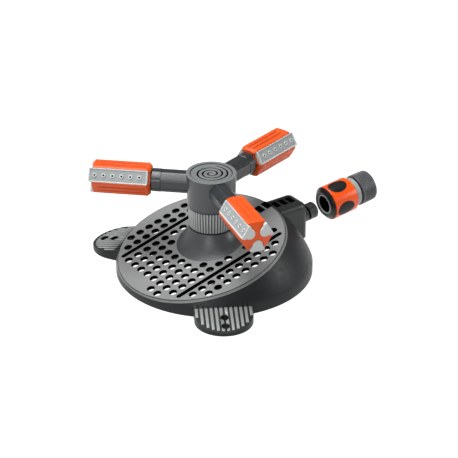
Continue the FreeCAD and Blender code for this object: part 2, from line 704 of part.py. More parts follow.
# ---- nozzle heads, built with +X along the arm ----------------------------
def nozzle_envelope():
    """Bevelled outer limit of a nozzle head and its strips."""
    corner = NOZZLE_APOTHEM / math.cos(math.pi / 6)
    return on_x(turned([(0.0, NOZZLE_START), (corner - NEAR_BEVEL, NOZZLE_START),
                        (corner, NOZZLE_START + NEAR_BEVEL), (corner, STRIP_END),
                        (0.0, STRIP_END)]))


def radial_slab(x0, x1, half, low, high):
    """Bar on the +Y side of the arm axis, from one radius to another."""
    return slab(x0, x1, low, high, -half, half)


def petal(start, end):
    """Full-depth end of a strip, with a round inner edge."""
    deep = Part.makeCylinder(PETAL_R, end - start, V(start, PETAL_X, 0), V(1, 0, 0))
    points = [V(start, NOZZLE_APOTHEM, -STRIP_HALF), V(start, NOZZLE_APOTHEM, STRIP_HALF),
              V(start, PETAL_SHOULDER, STRIP_HALF), V(start, PETAL_X, PETAL_R),
              V(start, PETAL_X, -PETAL_R), V(start, PETAL_SHOULDER, -STRIP_HALF)]
    wedge = Part.Face(Part.makePolygon(points + points[:1])).extrude(V(end - start, 0, 0))
    return wedge.fuse(deep)


def strip_block():
    """Plain volume of a strip, on the +Y side."""
    bar = radial_slab(STRIP_START, PETAL_START, STRIP_HALF, STRIP_FLOOR, NOZZLE_APOTHEM)
    return bar.fuse(petal(PETAL_START, STRIP_END)).removeSplitter()


def jet_rods(radius, low, high):
    """Rods at the jets of the +Y side."""
    return [Part.makeCylinder(radius, high - low, V(JET_START + index * JET_PITCH, low, 0),
                              V(0, 1, 0)) for index in range(JET_COUNT)]


def around_arm(shape, side):
    """Turn a +Y piece to one of the three strip sides."""
    return placed(shape, V(0, 0, 0), V(1, 0, 0), 30.0 + 120.0 * side)


def nozzle_head(angle):
    """Six-sided head that carries three nozzle strips."""
    corner = NOZZLE_APOTHEM / math.cos(math.pi / 6)
    points = [V(NOZZLE_START, corner * math.cos(math.pi * k / 3),
                corner * math.sin(math.pi * k / 3)) for k in range(6)]
    bar = Part.Face(Part.makePolygon(points + points[:1])).extrude(V(NOZZLE_L, 0, 0))
    far_end = on_x(turned([(0.0, 0.0), (corner, 0.0), (corner, NOZZLE_END - NOZZLE_END_FALL),
                           (NOZZLE_END_R, NOZZLE_END), (0.0, NOZZLE_END)]))
    bore = on_x(turned([
        (0.0, NOZZLE_START - 1), (SPIGOT_R + RUN_FIT, NOZZLE_START - 1),
        (SPIGOT_R + RUN_FIT, CLIP_AT - CLIP_PLAY), (CLIP_R + CLIP_PLAY, CLIP_AT - CLIP_PLAY),
        (CLIP_R + CLIP_PLAY, SPIGOT_END + FREE_GAP), (NOZZLE_CHAMBER, SPIGOT_END + FREE_GAP),
        (NOZZLE_CHAMBER, CHAMBER_END), (0.0, CHAMBER_END)]))
    cutters = [bore]
    for side in range(3):
        cutters.append(around_arm(strip_block(), side))
        cutters += [around_arm(jet, side) for jet in jet_rods(JET_BORE, 0.0, NOZZLE_APOTHEM)]
    return on_arm(bar.common(nozzle_envelope()).common(far_end).cut(cutters), angle)


def nozzle_strip(angle, side):
    """Strip with a row of jets and a petal-shaped end."""
    shape = strip_block().common(around_arm(nozzle_envelope(), 0))
    inset = radial_slab(STRIP_START + STRIP_RIM, STRIP_END + 1, STRIP_HALF - STRIP_RIM,
                        NOZZLE_APOTHEM - STRIP_INSET, NOZZLE_APOTHEM + 1)
    bosses = jet_rods(JET_R, STRIP_FLOOR, NOZZLE_APOTHEM)
    shape = shape.cut(inset).fuse(bosses).cut(jet_rods(JET_BORE, 0.0, REACH))
    return on_arm(around_arm(shape, side), angle)


# ---- hose connector -------------------------------------------------------
def conn_turned(points):
    """Turned piece of the connector, from (depth behind its front, radius)."""
    return inlet_turned([(CONN_AT + depth, radius) for depth, radius in points])


def conn_ring(start, end, outer, inner):
    """Plain ring of the connector."""
    return inlet_tube(CONN_AT + start, CONN_AT + end, outer, inner)


def connector_core():
    """Inner body with the socket, the sleeve's guide and the hose thread."""
    groove = CONN_SOCKET_R + RING_T
    socket_end = CONN_FRONT + CONN_SOCKET_L
    return conn_turned([
        (CONN_FRONT, CONN_SOCKET_R), (CONN_FRONT, CONN_FRONT_R),
        (CONN_GUIDE_AT, CONN_FRONT_R), (CONN_GUIDE_AT, CONN_GUIDE_R),
        (CONN_COLLAR_END, CONN_GUIDE_R), (CONN_COLLAR_END, CONN_THREAD_R),
        (CONN_THREAD_END, CONN_THREAD_R), (CONN_THREAD_END, CONN_BORE),
        (socket_end, CONN_BORE), (socket_end, CONN_SOCKET_R),
        (SEAL_AT + RING_W, CONN_SOCKET_R), (SEAL_AT + RING_W, groove),
        (SEAL_AT, groove), (SEAL_AT, CONN_SOCKET_R),
        (CLAW_AT + RING_W, CONN_SOCKET_R), (CLAW_AT + RING_W, groove),
        (CLAW_AT, groove), (CLAW_AT, CONN_SOCKET_R)])


def connector_claws():
    """Ring of locking claws in the socket."""
    return conn_ring(CLAW_AT, CLAW_AT + RING_W, CONN_SOCKET_R + RING_T, CONN_SOCKET_R)


def connector_seal():
    """Seal ring deeper in the socket."""
    return conn_ring(SEAL_AT, SEAL_AT + RING_W, CONN_SOCKET_R + RING_T, CONN_SOCKET_R)


def hose_barb():
    """Tail that the hose is pushed over."""
    end = CONN_THREAD_END + BARB_L
    points = [(CONN_THREAD_END, CONN_BORE), (CONN_THREAD_END, CONN_BARB_R - BARB_RISE)]
    tooth = BARB_L / BARB_TEETH
    for index in range(BARB_TEETH):
        start = CONN_THREAD_END + index * tooth
        points.append((start, CONN_BARB_R))
        points.append((start + tooth, CONN_BARB_R - BARB_RISE))
    return conn_turned(points + [(end, CONN_BORE)])


def release_sleeve():
    """Outer sleeve that is pulled back to release the connector."""
    lip = SLEEVE_LIP
    shape = conn_turned([
        (lip, BEZEL_R[1] + RUN_FIT), (lip, SLEEVE_FRONT_R), (lip + SLEEVE_ROUND, SLEEVE_R),
        (SLEEVE_END - SLEEVE_ROUND, SLEEVE_R), (SLEEVE_END, SLEEVE_FRONT_R),
        (SLEEVE_END, CONN_GUIDE_R + RUN_FIT), (BEZEL_T, CONN_GUIDE_R + RUN_FIT),
        (BEZEL_T, BEZEL_R[1] + RUN_FIT)])
    return shape.cut([grip_pad(angle) for angle in PAD_ANGLES])


def connector_bezel():
    """Dark ring round the socket, carried by the sleeve."""
    return conn_ring(0.0, BEZEL_T, BEZEL_R[1], BEZEL_R[0])


def grip_pad(angle):
    """Soft oval pad let into the sleeve."""
    centre = CONN_AT + PAD_AT
    oval = Part.Ellipse(V(0, 0, 0), PAD_LENGTH / 2, PAD_HALF)
    post = Part.Face(Part.Wire(oval.toShape())).extrude(V(0, 0, 2 * SLEEVE_R))
    post.translate(V(centre, 0, 0))
    half = PAD_LENGTH / 2 + 1
    shell = on_x(ring(SLEEVE_R, SLEEVE_R - PAD_T, centre - half, centre + half))
    return on_inlet(placed(shell.common(post), V(0, 0, 0), V(1, 0, 0), angle))


def hose_nut():
    """Union nut that clamps the hose."""
    clamp = CONN_THREAD_END + FREE_GAP
    return conn_turned([
        (NUT_AT, CONN_THREAD_R + RUN_FIT), (NUT_AT, NUT_R[0]), (NUT_END, NUT_R[1]),
        (NUT_END, HOSE_R), (clamp + NUT_TAPER, HOSE_R), (clamp, CONN_THREAD_R + RUN_FIT)])


def nodes():
    """Every node's name with the function that makes its shape."""
    makers = {
        "base_skirt": base_skirt, "perforated_plate": perforated_plate,
        "inlet_housing": inlet_housing, "inlet_channel": inlet_channel,
        "inlet_nipple": inlet_nipple, "nipple_o_ring": nipple_o_ring,
        "filter_screen": filter_screen, "water_elbow": water_elbow,
        "hub_cone": hub_cone, "riser_tube": riser_tube, "bearing_washer": bearing_washer,
        "rotor_retainer": rotor_retainer, "flow_collar": flow_collar,
        "throttle_sleeve": throttle_sleeve, "rotor_head": rotor_head,
        "rotor_seal": rotor_seal, "spiral_cap": spiral_cap,
        "connector_core": connector_core, "connector_claws": connector_claws,
        "connector_seal": connector_seal, "hose_barb": hose_barb,
        "release_sleeve": release_sleeve, "connector_bezel": connector_bezel,
        "hose_nut": hose_nut}
    for side, angle in EAR_ANGLES.items():
        makers[f"ear_{side}"] = lambda angle=angle: ear(angle)
        makers[f"rib_{side}"] = lambda angle=angle: support_rib(angle)
    for index, angle in enumerate(PAD_ANGLES, 1):
        makers[f"grip_pad_{index}"] = lambda angle=angle: grip_pad(angle)
    for index, angle in enumerate(ARM_ANGLES, 1):
        makers[f"arm_tube_{index}"] = lambda angle=angle: arm_tube(angle)
        makers[f"arm_o_ring_{index}"] = lambda angle=angle: arm_o_ring(angle)
        makers[f"arm_clip_{index}"] = lambda angle=angle: arm_clip(angle)
        makers[f"nozzle_head_{index}"] = lambda angle=angle: nozzle_head(angle)
        for side in range(3):
            makers[f"nozzle_strip_{index}_{side + 1}"] = (
                lambda angle=angle, side=side: nozzle_strip(angle, side))
    return makers


def main():
    """Write one STEP file per node."""
    os.makedirs("parts", exist_ok=True)
    for name, maker in nodes().items():
        shape = maker()
        solids = shape.Solids
        result = solids[0] if len(solids) == 1 else Part.makeCompound(solids)
        result.exportStep(os.path.join("parts", name + ".step"))
        print(f"{name:20s} solids {len(solids)}  volume {result.Volume:10.1f}")


main()
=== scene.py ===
"""Looks of a three-armed lawn sprinkler with its hose connector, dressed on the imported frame.

Every piece is in metres in the frame's own axes: the rotor spins about Z at the
origin, and +X points to the water inlet. Sizes inside the classes are in millimetres.
"""
import json
import logging
import math
from dataclasses import dataclass, field
from enum import Enum
from typing import Any, Callable, Iterable, Sequence

import bmesh
import bpy
from mathutils import Matrix, Vector


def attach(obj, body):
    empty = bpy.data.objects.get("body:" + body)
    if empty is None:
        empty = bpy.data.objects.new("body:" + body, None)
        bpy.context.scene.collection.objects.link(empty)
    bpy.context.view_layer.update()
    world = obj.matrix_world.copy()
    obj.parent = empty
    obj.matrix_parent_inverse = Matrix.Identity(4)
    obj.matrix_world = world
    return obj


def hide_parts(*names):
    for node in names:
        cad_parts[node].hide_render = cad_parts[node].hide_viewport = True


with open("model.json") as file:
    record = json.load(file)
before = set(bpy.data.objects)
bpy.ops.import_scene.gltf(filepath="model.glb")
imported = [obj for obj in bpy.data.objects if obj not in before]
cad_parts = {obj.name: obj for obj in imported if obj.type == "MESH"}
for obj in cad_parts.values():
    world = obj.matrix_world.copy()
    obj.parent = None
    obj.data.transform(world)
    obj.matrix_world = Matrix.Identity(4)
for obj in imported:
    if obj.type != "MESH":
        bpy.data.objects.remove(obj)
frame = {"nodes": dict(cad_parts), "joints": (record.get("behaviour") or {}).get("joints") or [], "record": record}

MM = 0.001
MERGE = 0.002       # mm; corners nearer than this are one
SUNK = 0.3          # mm; how far an added face reaches into what carries it
Point2 = tuple[float, float]
Ring = list[Vector]
log = logging.getLogger("sprinkler")


# ---- shared helpers ---------------------------------------------------------
def linear(code: str) -> tuple[float, float, float, float]:
    """Turn an sRGB hex colour into linear values.

    Args:
        code: Six hex digits with a leading hash.

    Returns:
        Linear red, green, blue and an alpha of one.
    """
    values = [int(code[at:at + 2], 16) / 255 for at in (1, 3, 5)]
    red, green, blue = [v / 12.92 if v <= 0.04045 else ((v + 0.055) / 1.055) ** 2.4
                        for v in values]
    return (red, green, blue, 1.0)


def add(tree: bpy.types.NodeTree, kind: str, inputs: dict[Any, Any] | None = None,
        **settings: Any) -> bpy.types.Node:
    """Add a node with its settings, values and links.

    Args:
        tree: Node tree that takes the node.
        kind: Blender's name of the node type.
        inputs: Value or output socket for each input, by name or number.
        settings: Properties set on the node itself.

    Returns:
        The new node.
    """
    made = tree.nodes.new(kind)
    for key, value in settings.items():
        setattr(made, key, value)
    for key, value in (inputs or {}).items():
        if isinstance(value, bpy.types.NodeSocket):
            tree.links.new(value, made.inputs[key])
        else:
            made.inputs[key].default_value = value
    return made


def make_object(name: str, data: bpy.types.ID) -> bpy.types.Object:
    """Put a mesh, lamp or camera into the scene as an object at the origin."""
    made = bpy.data.objects.new(name, data)
    bpy.context.scene.collection.objects.link(made)
    return made


def raw_object(name: str, build: bmesh.types.BMesh) -> bpy.types.Object:
    """Turn a bmesh, which is freed here, into an object as it is."""
    mesh = bpy.data.meshes.new(name)
    build.to_mesh(mesh)
    build.free()
    return make_object(name, mesh)


def aimed(made: bpy.types.Object, place: Sequence[float], aim: Sequence[float]) -> None:
    """Put a lamp or camera at a place, facing a point, both in millimetres."""
    made.location = Vector(place) * MM
    ahead = (Vector(aim) - Vector(place)).normalized()
    made.rotation_euler = ahead.to_track_quat("-Z", "Y").to_euler()


def mesh_of(name: str, build: bmesh.types.BMesh, sharp: float = 35.0) -> bpy.types.Object:
    """Finish a bmesh as an object with smooth faces and sharp edges kept.

    Args:
        name: Name of the piece.
        build: Mesh under construction, in metres; it is freed here.
        sharp: Angle in degrees above which an edge stays sharp.

    Returns:
        The object.
    """
    bmesh.ops.remove_doubles(build, verts=build.verts, dist=MERGE * MM)
    bmesh.ops.recalc_face_normals(build, faces=build.faces)
    limit = math.radians(sharp)
    for edge in build.edges:
        edge.smooth = len(edge.link_faces) == 2 and edge.calc_face_angle(0.0) < limit
    for face in build.faces:
        face.smooth = True
    return raw_object(name, build)


def bridge(build: bmesh.types.BMesh, rings: Sequence[Ring], closed: bool = False) -> None:
    """Join rings of equal length into a closed skin.

    Args:
        build: Mesh that takes the faces.
        rings: Rings of points in metres, each closed on itself.
        closed: Whether the last ring joins the first; if not, both ends get a face.
    """
    made = [[build.verts.new(point) for point in ring] for ring in rings]
    pairs = list(zip(made, made[1:]))
    if closed:
        pairs.append((made[-1], made[0]))
    count = len(made[0])
    for first, second in pairs:
        for at in range(count):
            after = (at + 1) % count
            build.faces.new((first[at], first[after], second[after], second[at]))
    if not closed:
        build.faces.new(made[0])
        build.faces.new(made[-1])


def skin(name: str, rings: Sequence[Ring], sharp: float = 35.0,
         closed: bool = False) -> bpy.types.Object:
    """Make a piece from rings of equal length.

    Args:
        name: Name of the piece.
        rings: Rings of points in metres.
        sharp: Angle in degrees above which an edge stays sharp.
        closed: Whether the last ring joins the first.

    Returns:
        The object.
    """
    build = bmesh.new()
    bridge(build, rings, closed)
    return mesh_of(name, build, sharp)


def ring_at(station: float, outline: Iterable[Point2]) -> Ring:
    """Ring of a (y, z) outline in millimetres, at a station along X."""
    return [Vector((station, y, z)) * MM for y, z in outline]


def on_spoke(angle: float, section: Iterable[Point2],
             middle: Sequence[float] = (0.0, 0.0, 0.0)) -> Ring:
    """Ring that stands on a spoke in the XY plane.

    Args:
        angle: Direction of the spoke in radians.
        section: Points as (distance along the spoke, height), in millimetres.
        middle: Point where the spoke starts.

    Returns:
        The ring, in metres.
    """
    spoke = Vector((math.cos(angle), math.sin(angle), 0))
    return [(Vector(middle) + spoke * r + Vector((0, 0, z))) * MM for r, z in section]


def rounded(points: Sequence[Point2], radius: float | Sequence[float],
            steps: int = 3) -> list[Point2]:
    """Round the corners of a closed outline with arcs.

    Args:
        points: Corners in order.
        radius: One radius for all corners, or one for each.
        steps: Segments of each arc.

    Returns:
        The outline with each corner replaced by its arc.
    """
    radii = [radius] * len(points) if isinstance(radius, (int, float)) else list(radius)
    result: list[Point2] = []
    for at, corner in enumerate(points):
        here = Vector(corner)
        back = Vector(points[at - 1]) - here
        ahead = Vector(points[(at + 1) % len(points)]) - here
        half = back.angle(ahead, math.pi) / 2
        if radii[at] <= 0 or half > math.radians(89):
            result.append(corner)
            continue
        reach = min(radii[at] / math.tan(half), 0.48 * back.length, 0.48 * ahead.length)
        start = here + back.normalized() * reach
        end = here + ahead.normalized() * reach
        centre = here + (back.normalized() + ahead.normalized()).normalized() * (
            reach / math.cos(half))
        size = reach * math.tan(half)
        for step in range(steps + 1):
            spoke = (start - centre).lerp(end - centre, step / steps)
            result.append(tuple(centre + spoke.normalized() * size))
    return result


def turned(name: str, profile: Sequence[Point2], segments: int = 96) -> bpy.types.Object:
    """Make a turned piece about the local X axis.

    Args:
        name: Name of the piece.
        profile: Closed outline of (station, radius) points in millimetres.
        segments: Number of segments round the axis.

    Returns:
        The object, still in its local frame.
    """
    rings = []
    for at in range(segments):
        angle = 2 * math.pi * at / segments
        rings.append([Vector((s, r * math.cos(angle), r * math.sin(angle))) * MM
                      for s, r in profile])
    return skin(name, rings, closed=True)


def band(name: str, stations: Point2, radii: Point2) -> bpy.types.Object:
    """Plain turned ring about the local X axis, between two stations and two radii."""
    (first, last), (low, high) = stations, radii
    return turned(name, [(first, low), (first, high), (last, high), (last, low)])


def placed(piece: bpy.types.Object, matrix: Matrix) -> bpy.types.Object:
    """Move a piece's mesh into the frame, leaving its object at the origin."""
    piece.data.transform(matrix)
    piece.data.update()
    return piece


def upright(name: str, profile: Sequence[Point2], segments: int,
            at: float = 0.0) -> bpy.types.Object:
    """Make a turned piece about a vertical axis.

    Args:
        name: Name of the piece.
        profile: Closed outline of (height, radius) points in millimetres.
        segments: Number of segments round the axis.
        at: Where the axis crosses X, in millimetres.

    Returns:
        The object.
    """
    return placed(turned(name, profile, segments),
                  Matrix.Translation((at * MM, 0, 0)) @ UPRIGHT)


def copy_of_node(name: str, node: str, sharp: float = 35.0) -> bpy.types.Object:
    """Smooth, merged copy of a frame node's mesh."""
    build = bmesh.new()
    build.from_mesh(frame["nodes"][node].data)
    bmesh.ops.remove_doubles(build, verts=build.verts, dist=MERGE * MM)
    bmesh.ops.dissolve_degenerate(build, edges=build.edges, dist=MERGE / 2 * MM)
    copy = mesh_of(name, build, sharp)
    if "custom_normal" in copy.data.attributes:
        copy.data.attributes.remove(copy.data.attributes["custom_normal"])
    weighted = copy.modifiers.new("weighted", "WEIGHTED_NORMAL")
    weighted.keep_sharp = True
    return copy


def joined(name: str, pieces: Sequence[bpy.types.Object]) -> bpy.types.Object:
    """Join pieces that share one finish into one object."""
    build = bmesh.new()
    for piece in pieces:
        build.from_mesh(piece.data)
        bpy.data.objects.remove(piece)
    return raw_object(name, build)


def axis_matrix(origin: Sequence[float], axis: Sequence[float]) -> Matrix:
    """Local frame with +X along an axis and +Z as near to up as it can be."""
    ahead = Vector(axis).normalized()
    side = Vector((0, 0, 1)).cross(ahead).normalized()
    up = ahead.cross(side)
    matrix = Matrix((ahead, side, up)).transposed().to_4x4()
    matrix.translation = Vector(origin)
    return matrix


UPRIGHT = Matrix.Rotation(math.radians(-90), 4, "Y")


def joint(name: str) -> dict[str, Any]:
    """The frame's record of one joint."""
    return next(row for row in frame["joints"] if row["name"] == name)


# ---- finishes ---------------------------------------------------------------
class Grain(Enum):
    """Kinds of fine relief that a surface carries."""

    SPARK = "spark-eroded mould grain"
    POLISHED = "polished mould with faint flow lines"
    RUBBER = "soft elastomer with fine pits"


@dataclass(frozen=True)
class Finish:
    """What a surface is made of; each kind lays its own nodes."""

    name: str
    colour: str

    def material(self) -> bpy.types.Material:
        """Build the material once and reuse it after that."""
        made = bpy.data.materials.get(self.name)
        if not made:
            made = bpy.data.materials.new(self.name)
            made.use_nodes = True
            self.lay(made.node_tree, made.node_tree.nodes["Principled BSDF"])
        return made

    def lay(self, tree: bpy.types.NodeTree, shader: bpy.types.Node) -> None:
        """Lay the finish's nodes before the shader."""
        raise NotImplementedError


@dataclass(frozen=True)
class Moulded(Finish):
    """Injection-moulded plastic or elastomer.

    Its colour drifts a little over the piece, its edges are softened and lightened,
    partly as rubbed wear and partly as painted highlight, and its grain breaks up the reflections.
    """

    rubbed: str
    roughness: float
    grain: Grain
    grain_size: float = 0.7     # mm; real grain is nearer 0.1 and would not show
    relief: float = 0.02        # mm
    softness: float = 0.35      # mm, radius of the softened edges
    wear: float = 0.35
    ior: float = 1.5
    coat: float = 0.0
    coat_roughness: float = 0.25
    drift: float = 28.0         # mm, size of the slow changes of colour
    shades: Point2 = (0.88, 1.10)   # darkest and palest share of the colour
    smudge: float = 5.0         # mm, size of the handled patches
    gloss: Point2 = (-0.05, 0.07)   # added to the roughness over those patches
    edge: Point2 = (0.995, 0.80)    # how far the soft normal turns at an edge lightened by wear and painted highlight

    def lay(self, tree: bpy.types.NodeTree, shader: bpy.types.Node) -> None:
        """Lay colour drift, edges lightened as wear and painted highlight, patchy gloss and grain."""
        shader.inputs["IOR"].default_value = self.ior
        shader.inputs["Coat Weight"].default_value = self.coat
        shader.inputs["Coat Roughness"].default_value = self.coat_roughness
        where = add(tree, "ShaderNodeTexCoord").outputs["Object"]
        drift = add(tree, "ShaderNodeTexNoise", {
            "Vector": where, "Scale": 1 / (self.drift * MM), "Detail": 3.0})
        smudge = add(tree, "ShaderNodeTexNoise", {
            "Vector": where, "Scale": 1 / (self.smudge * MM), "Detail": 4.0,
            "Roughness": 0.6})
        soft = add(tree, "ShaderNodeBevel", {"Radius": self.softness * MM}, samples=6)
        flat = add(tree, "ShaderNodeNewGeometry").outputs["Normal"]
        across = add(tree, "ShaderNodeVectorMath", {0: soft.outputs["Normal"], 1: flat},
                     operation="DOT_PRODUCT")
        edge = add(tree, "ShaderNodeMapRange", {
            "Value": across.outputs["Value"], "From Min": self.edge[0],
            "From Max": self.edge[1], "To Min": 0.0, "To Max": self.wear})
        # Edges, convex and hollow alike, lighten towards the rubbed colour: partly wear, partly painted highlight.
        patchy = add(tree, "ShaderNodeMath", {
            0: edge.outputs["Result"], 1: smudge.outputs["Fac"]}, operation="MULTIPLY")
        darker, lighter = [
            tuple(min(1.0, value * share) for value in linear(self.colour)[:3]) + (1.0,)
            for share in self.shades]
        body = add(tree, "ShaderNodeMix", {
            "Factor": drift.outputs["Fac"], 6: darker, 7: lighter}, data_type="RGBA")
        worn_and_highlit = add(tree, "ShaderNodeMix", {
            "Factor": patchy.outputs["Value"], 6: body.outputs[2],
            7: linear(self.rubbed)}, data_type="RGBA")
        tree.links.new(worn_and_highlit.outputs[2], shader.inputs["Base Color"])
        gloss = add(tree, "ShaderNodeMapRange", {
            "Value": smudge.outputs["Fac"], "From Min": 0.3, "From Max": 0.7,
            "To Min": self.roughness + self.gloss[0],
            "To Max": self.roughness + self.gloss[1]})
        tree.links.new(gloss.outputs["Result"], shader.inputs["Roughness"])
        bump = add(tree, "ShaderNodeBump", {
            "Height": self.height(tree, where), "Normal": soft.outputs["Normal"],
            "Strength": 1.0, "Distance": self.relief * MM})
        tree.links.new(bump.outputs["Normal"], shader.inputs["Normal"])

    def height(self, tree: bpy.types.NodeTree,
               where: bpy.types.NodeSocket) -> bpy.types.NodeSocket:
        """Relief of the chosen grain.

        Args:
            tree: The material's node tree.
            where: Socket with the position on the piece.

        Returns:
            Socket with a height from 0 to 1.
        """
        scale = 1 / (self.grain_size * MM)
        if self.grain is Grain.RUBBER:
            pits = add(tree, "ShaderNodeTexVoronoi", {"Vector": where, "Scale": scale})
            return pits.outputs["Distance"]
        if self.grain is Grain.POLISHED:
            scale = scale / 4       # flow lines lie wider than grain
        noise = add(tree, "ShaderNodeTexNoise", {
            "Vector": where, "Scale": scale, "Detail": 2.0, "Roughness": 0.7})
        return noise.outputs["Fac"]


@dataclass(frozen=True)
class SpringSteel(Finish):
    """Stainless spring wire: bright, with fine drawing lines round it."""

    name: str = "stainless_spring_steel"
    colour: str = "#C9CACB"
    roughness: float = 0.28
    gloss: Point2 = (-0.08, 0.10)   # added to the roughness along the lines
    lines: float = 0.25     # mm between the drawing lines
    relief: float = 0.01    # mm

    def lay(self, tree: bpy.types.NodeTree, shader: bpy.types.Node) -> None:
        """Lay bright metal with drawing lines."""
        shader.inputs["Metallic"].default_value = 1.0
        shader.inputs["Base Color"].default_value = linear(self.colour)
        where = add(tree, "ShaderNodeTexCoord").outputs["Object"]
        lines = add(tree, "ShaderNodeTexNoise", {
            "Vector": where, "Scale": 1 / (self.lines * MM), "Detail": 3.0})
        gloss = add(tree, "ShaderNodeMapRange", {
            "Value": lines.outputs["Fac"], "To Min": self.roughness + self.gloss[0],
            "To Max": self.roughness + self.gloss[1]})
        tree.links.new(gloss.outputs["Result"], shader.inputs["Roughness"])
        bump = add(tree, "ShaderNodeBump", {
            "Height": lines.outputs["Fac"], "Distance": self.relief * MM})
        tree.links.new(bump.outputs["Normal"], shader.inputs["Normal"])


# An IOR under the plastic's own 1.5 stands for grain that breaks up its sheen.
# ABS in graphite grey, from a spark-eroded mould: a dull, even sheen.
GRAPHITE = Moulded("graphite_abs", "#1B1D1E", "#4C4E4E", 0.42, Grain.SPARK, ior=1.28)
HOUSING = Moulded("housing_abs", "#202223", "#505252", 0.34, Grain.SPARK, ior=1.4)
# The same ABS in the plate, whose finer grain looks a little paler.
PLATE = Moulded("plate_abs", "#626464", "#8E908F", 0.46, Grain.SPARK, grain_size=0.9)
# Dark polypropylene from a polished mould: satin, with long soft highlights.
COLUMN = Moulded("column_polypropylene", "#383B3C", "#7C7E7E", 0.33, Grain.POLISHED,
                 relief=0.004)
ARM = Moulded("arm_polypropylene", "#212426", "#7C7F82", 0.31, Grain.POLISHED,
              relief=0.002, softness=0.4, wear=0.3)
CONE = Moulded("cone_polypropylene", "#333537", "#5A5C5C", 0.42, Grain.POLISHED,
               relief=0.002, wear=0.2)
# Pale grey elastomer moulded over the ribs, strips and petals: soft and dull.
# Its edges lighten almost to white: rubbed wear and painted highlight along the strips' rims.
SOFT_GREY = Moulded("soft_grey_elastomer", "#9EA2A0", "#F0F2F1", 0.50, Grain.RUBBER,
                    grain_size=0.5, relief=0.010, wear=0.9)
# The channels' floors are painted darker, as painted shade.
CHANNEL_SHADE = Moulded("channel_painted_shade_elastomer", "#7C8081", "#B0B4B3", 0.60, Grain.RUBBER,
                       grain_size=0.5, relief=0.010)
RIB_GREY = Moulded("rib_grey_abs", "#747776", "#BCBEBD", 0.46, Grain.SPARK, relief=0.010)
# Orange ABS from a polished mould: strong colour and a satin gloss.
ORANGE = Moulded("orange_abs", "#BA430B", "#E06A30", 0.42, Grain.POLISHED, wear=0.2,
                 relief=0.004, softness=0.5, ior=1.36)
BRIGHT_ORANGE = Moulded("bright_orange_abs", "#CE4503", "#FF8A40", 0.26, Grain.POLISHED,
                        wear=0.4, coat=0.08, relief=0.002, ior=1.42)
# Black polyamide and rubber: nearly no colour, so the sheen shows the shape.
BLACK = Moulded("black_polyamide", "#0C0C0D", "#3E4042", 0.30, Grain.SPARK, wear=0.5,
                relief=0.008, ior=1.38)
NIPPLE = Moulded("nipple_polyamide", "#25282A", "#84878A", 0.28, Grain.SPARK, wear=0.6,
                 relief=0.006)
# Flat black that stands for painted shade in holes, slots, pockets, grooves and bores; it also draws the dark
# joint lines.
SHADOW = Moulded("painted_shade_and_joint_black", "#030303", "#050505", 0.90, Grain.SPARK, ior=1.05)
GRIP = Moulded("black_grip_elastomer", "#070808", "#222527", 0.46, Grain.RUBBER,
               grain_size=0.8, relief=0.03, ior=1.34)
SEAL = Moulded("nitrile_rubber", "#0C0C0C", "#242424", 0.40, Grain.RUBBER,
               grain_size=0.4)
NATURAL = Moulded("natural_grey_pom", "#8E9392", "#C4C8C6", 0.36, Grain.POLISHED)
NUT = Moulded("nut_grey_abs", "#3A3C3E", "#9EA1A3", 0.40, Grain.SPARK, wear=0.6,
              relief=0.008)
# The collar's core, darker as painted shade between its ribs, and the ribs in a paler mix.
COLLAR_SHADE = Moulded("collar_core_painted_shade", "#2A2C2D", "#404243", 0.55, Grain.SPARK)
COLLAR_GREY = Moulded("collar_rib_abs", "#8C8F8E", "#C4C6C5", 0.42, Grain.SPARK,
                      relief=0.008)
# The cap and the drum's rim face are painted paler than the drum, as painted light on faces that look up at the
# key lamp.
TOP_LIT = Moulded("cap_and_rim_painted_light", "#5A5D5D", "#7E8080", 0.50, Grain.POLISHED,
              relief=0.004)
SOCKET_GREY = Moulded("socket_grey_pom", "#7E8280", "#C0C3C1", 0.40, Grain.POLISHED,
                      relief=0.004)
STEEL = SpringSteel()


def dress(piece: bpy.types.Object, finish: Finish) -> None:
    """Give a piece its finish as its only material."""
    piece.data.materials.clear()
    piece.data.materials.append(finish.material())


def settle(piece: bpy.types.Object, finish: Finish, body: str,
           stands_for: Iterable[str] = ()) -> bpy.types.Object:
    """Dress a new piece, tie it to its body and report it.

    Args:
        piece: Finished piece, in place in the frame.
        finish: Its finish.
        body: Body that it moves with.
        stands_for: Frame nodes that it is shown instead of.

    Returns:
        The piece.
    """
    dress(piece, finish)
    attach(piece, body)
    names = list(stands_for)
    if names:
        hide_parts(*names)
    log.info("%s on %s, %d faces, stands for %s", piece.name, body,
             len(piece.data.polygons), names or "nothing")
    return piece


def show_copy(name: str, node: str, finish: Finish, body: str = "base",
              sharp: float = 35.0) -> None:
    """Show a merged and dressed copy of a frame node instead of it.

    Args:
        name: Name of the copy.
        node: The frame's node.
        finish: Its finish.
        body: Body that it moves with.
        sharp: Angle in degrees above which an edge stays sharp.
    """
    settle(copy_of_node(name, node, sharp), finish, body, [node])


def keep(node: str, finish: Finish) -> None:
    """Give a node of the frame, which stays in view, its finish."""
    dress(frame["nodes"][node], finish)
    log.info("%s keeps its mesh, in %s", node, finish.name)


# ---- geometry nodes ---------------------------------------------------------
def open_tree(name: str, sockets: dict[str, str]) -> tuple[bpy.types.NodeTree, bpy.types.Node]:
    """Start a Geometry Nodes tree with named inputs.

    Args:
        name: Name of the tree.
        sockets: Name and kind of each input after the geometry.

    Returns:
        The tree and its group input node.
    """
    tree = bpy.data.node_groups.new(name, "GeometryNodeTree")
    for label, kind in {"Geometry": "Geometry", **sockets, "Finish": "Material"}.items():
        tree.interface.new_socket(label, in_out="INPUT", socket_type=f"NodeSocket{kind}")
    tree.interface.new_socket("Geometry", in_out="OUTPUT", socket_type="NodeSocketGeometry")
    return tree, add(tree, "NodeGroupInput")


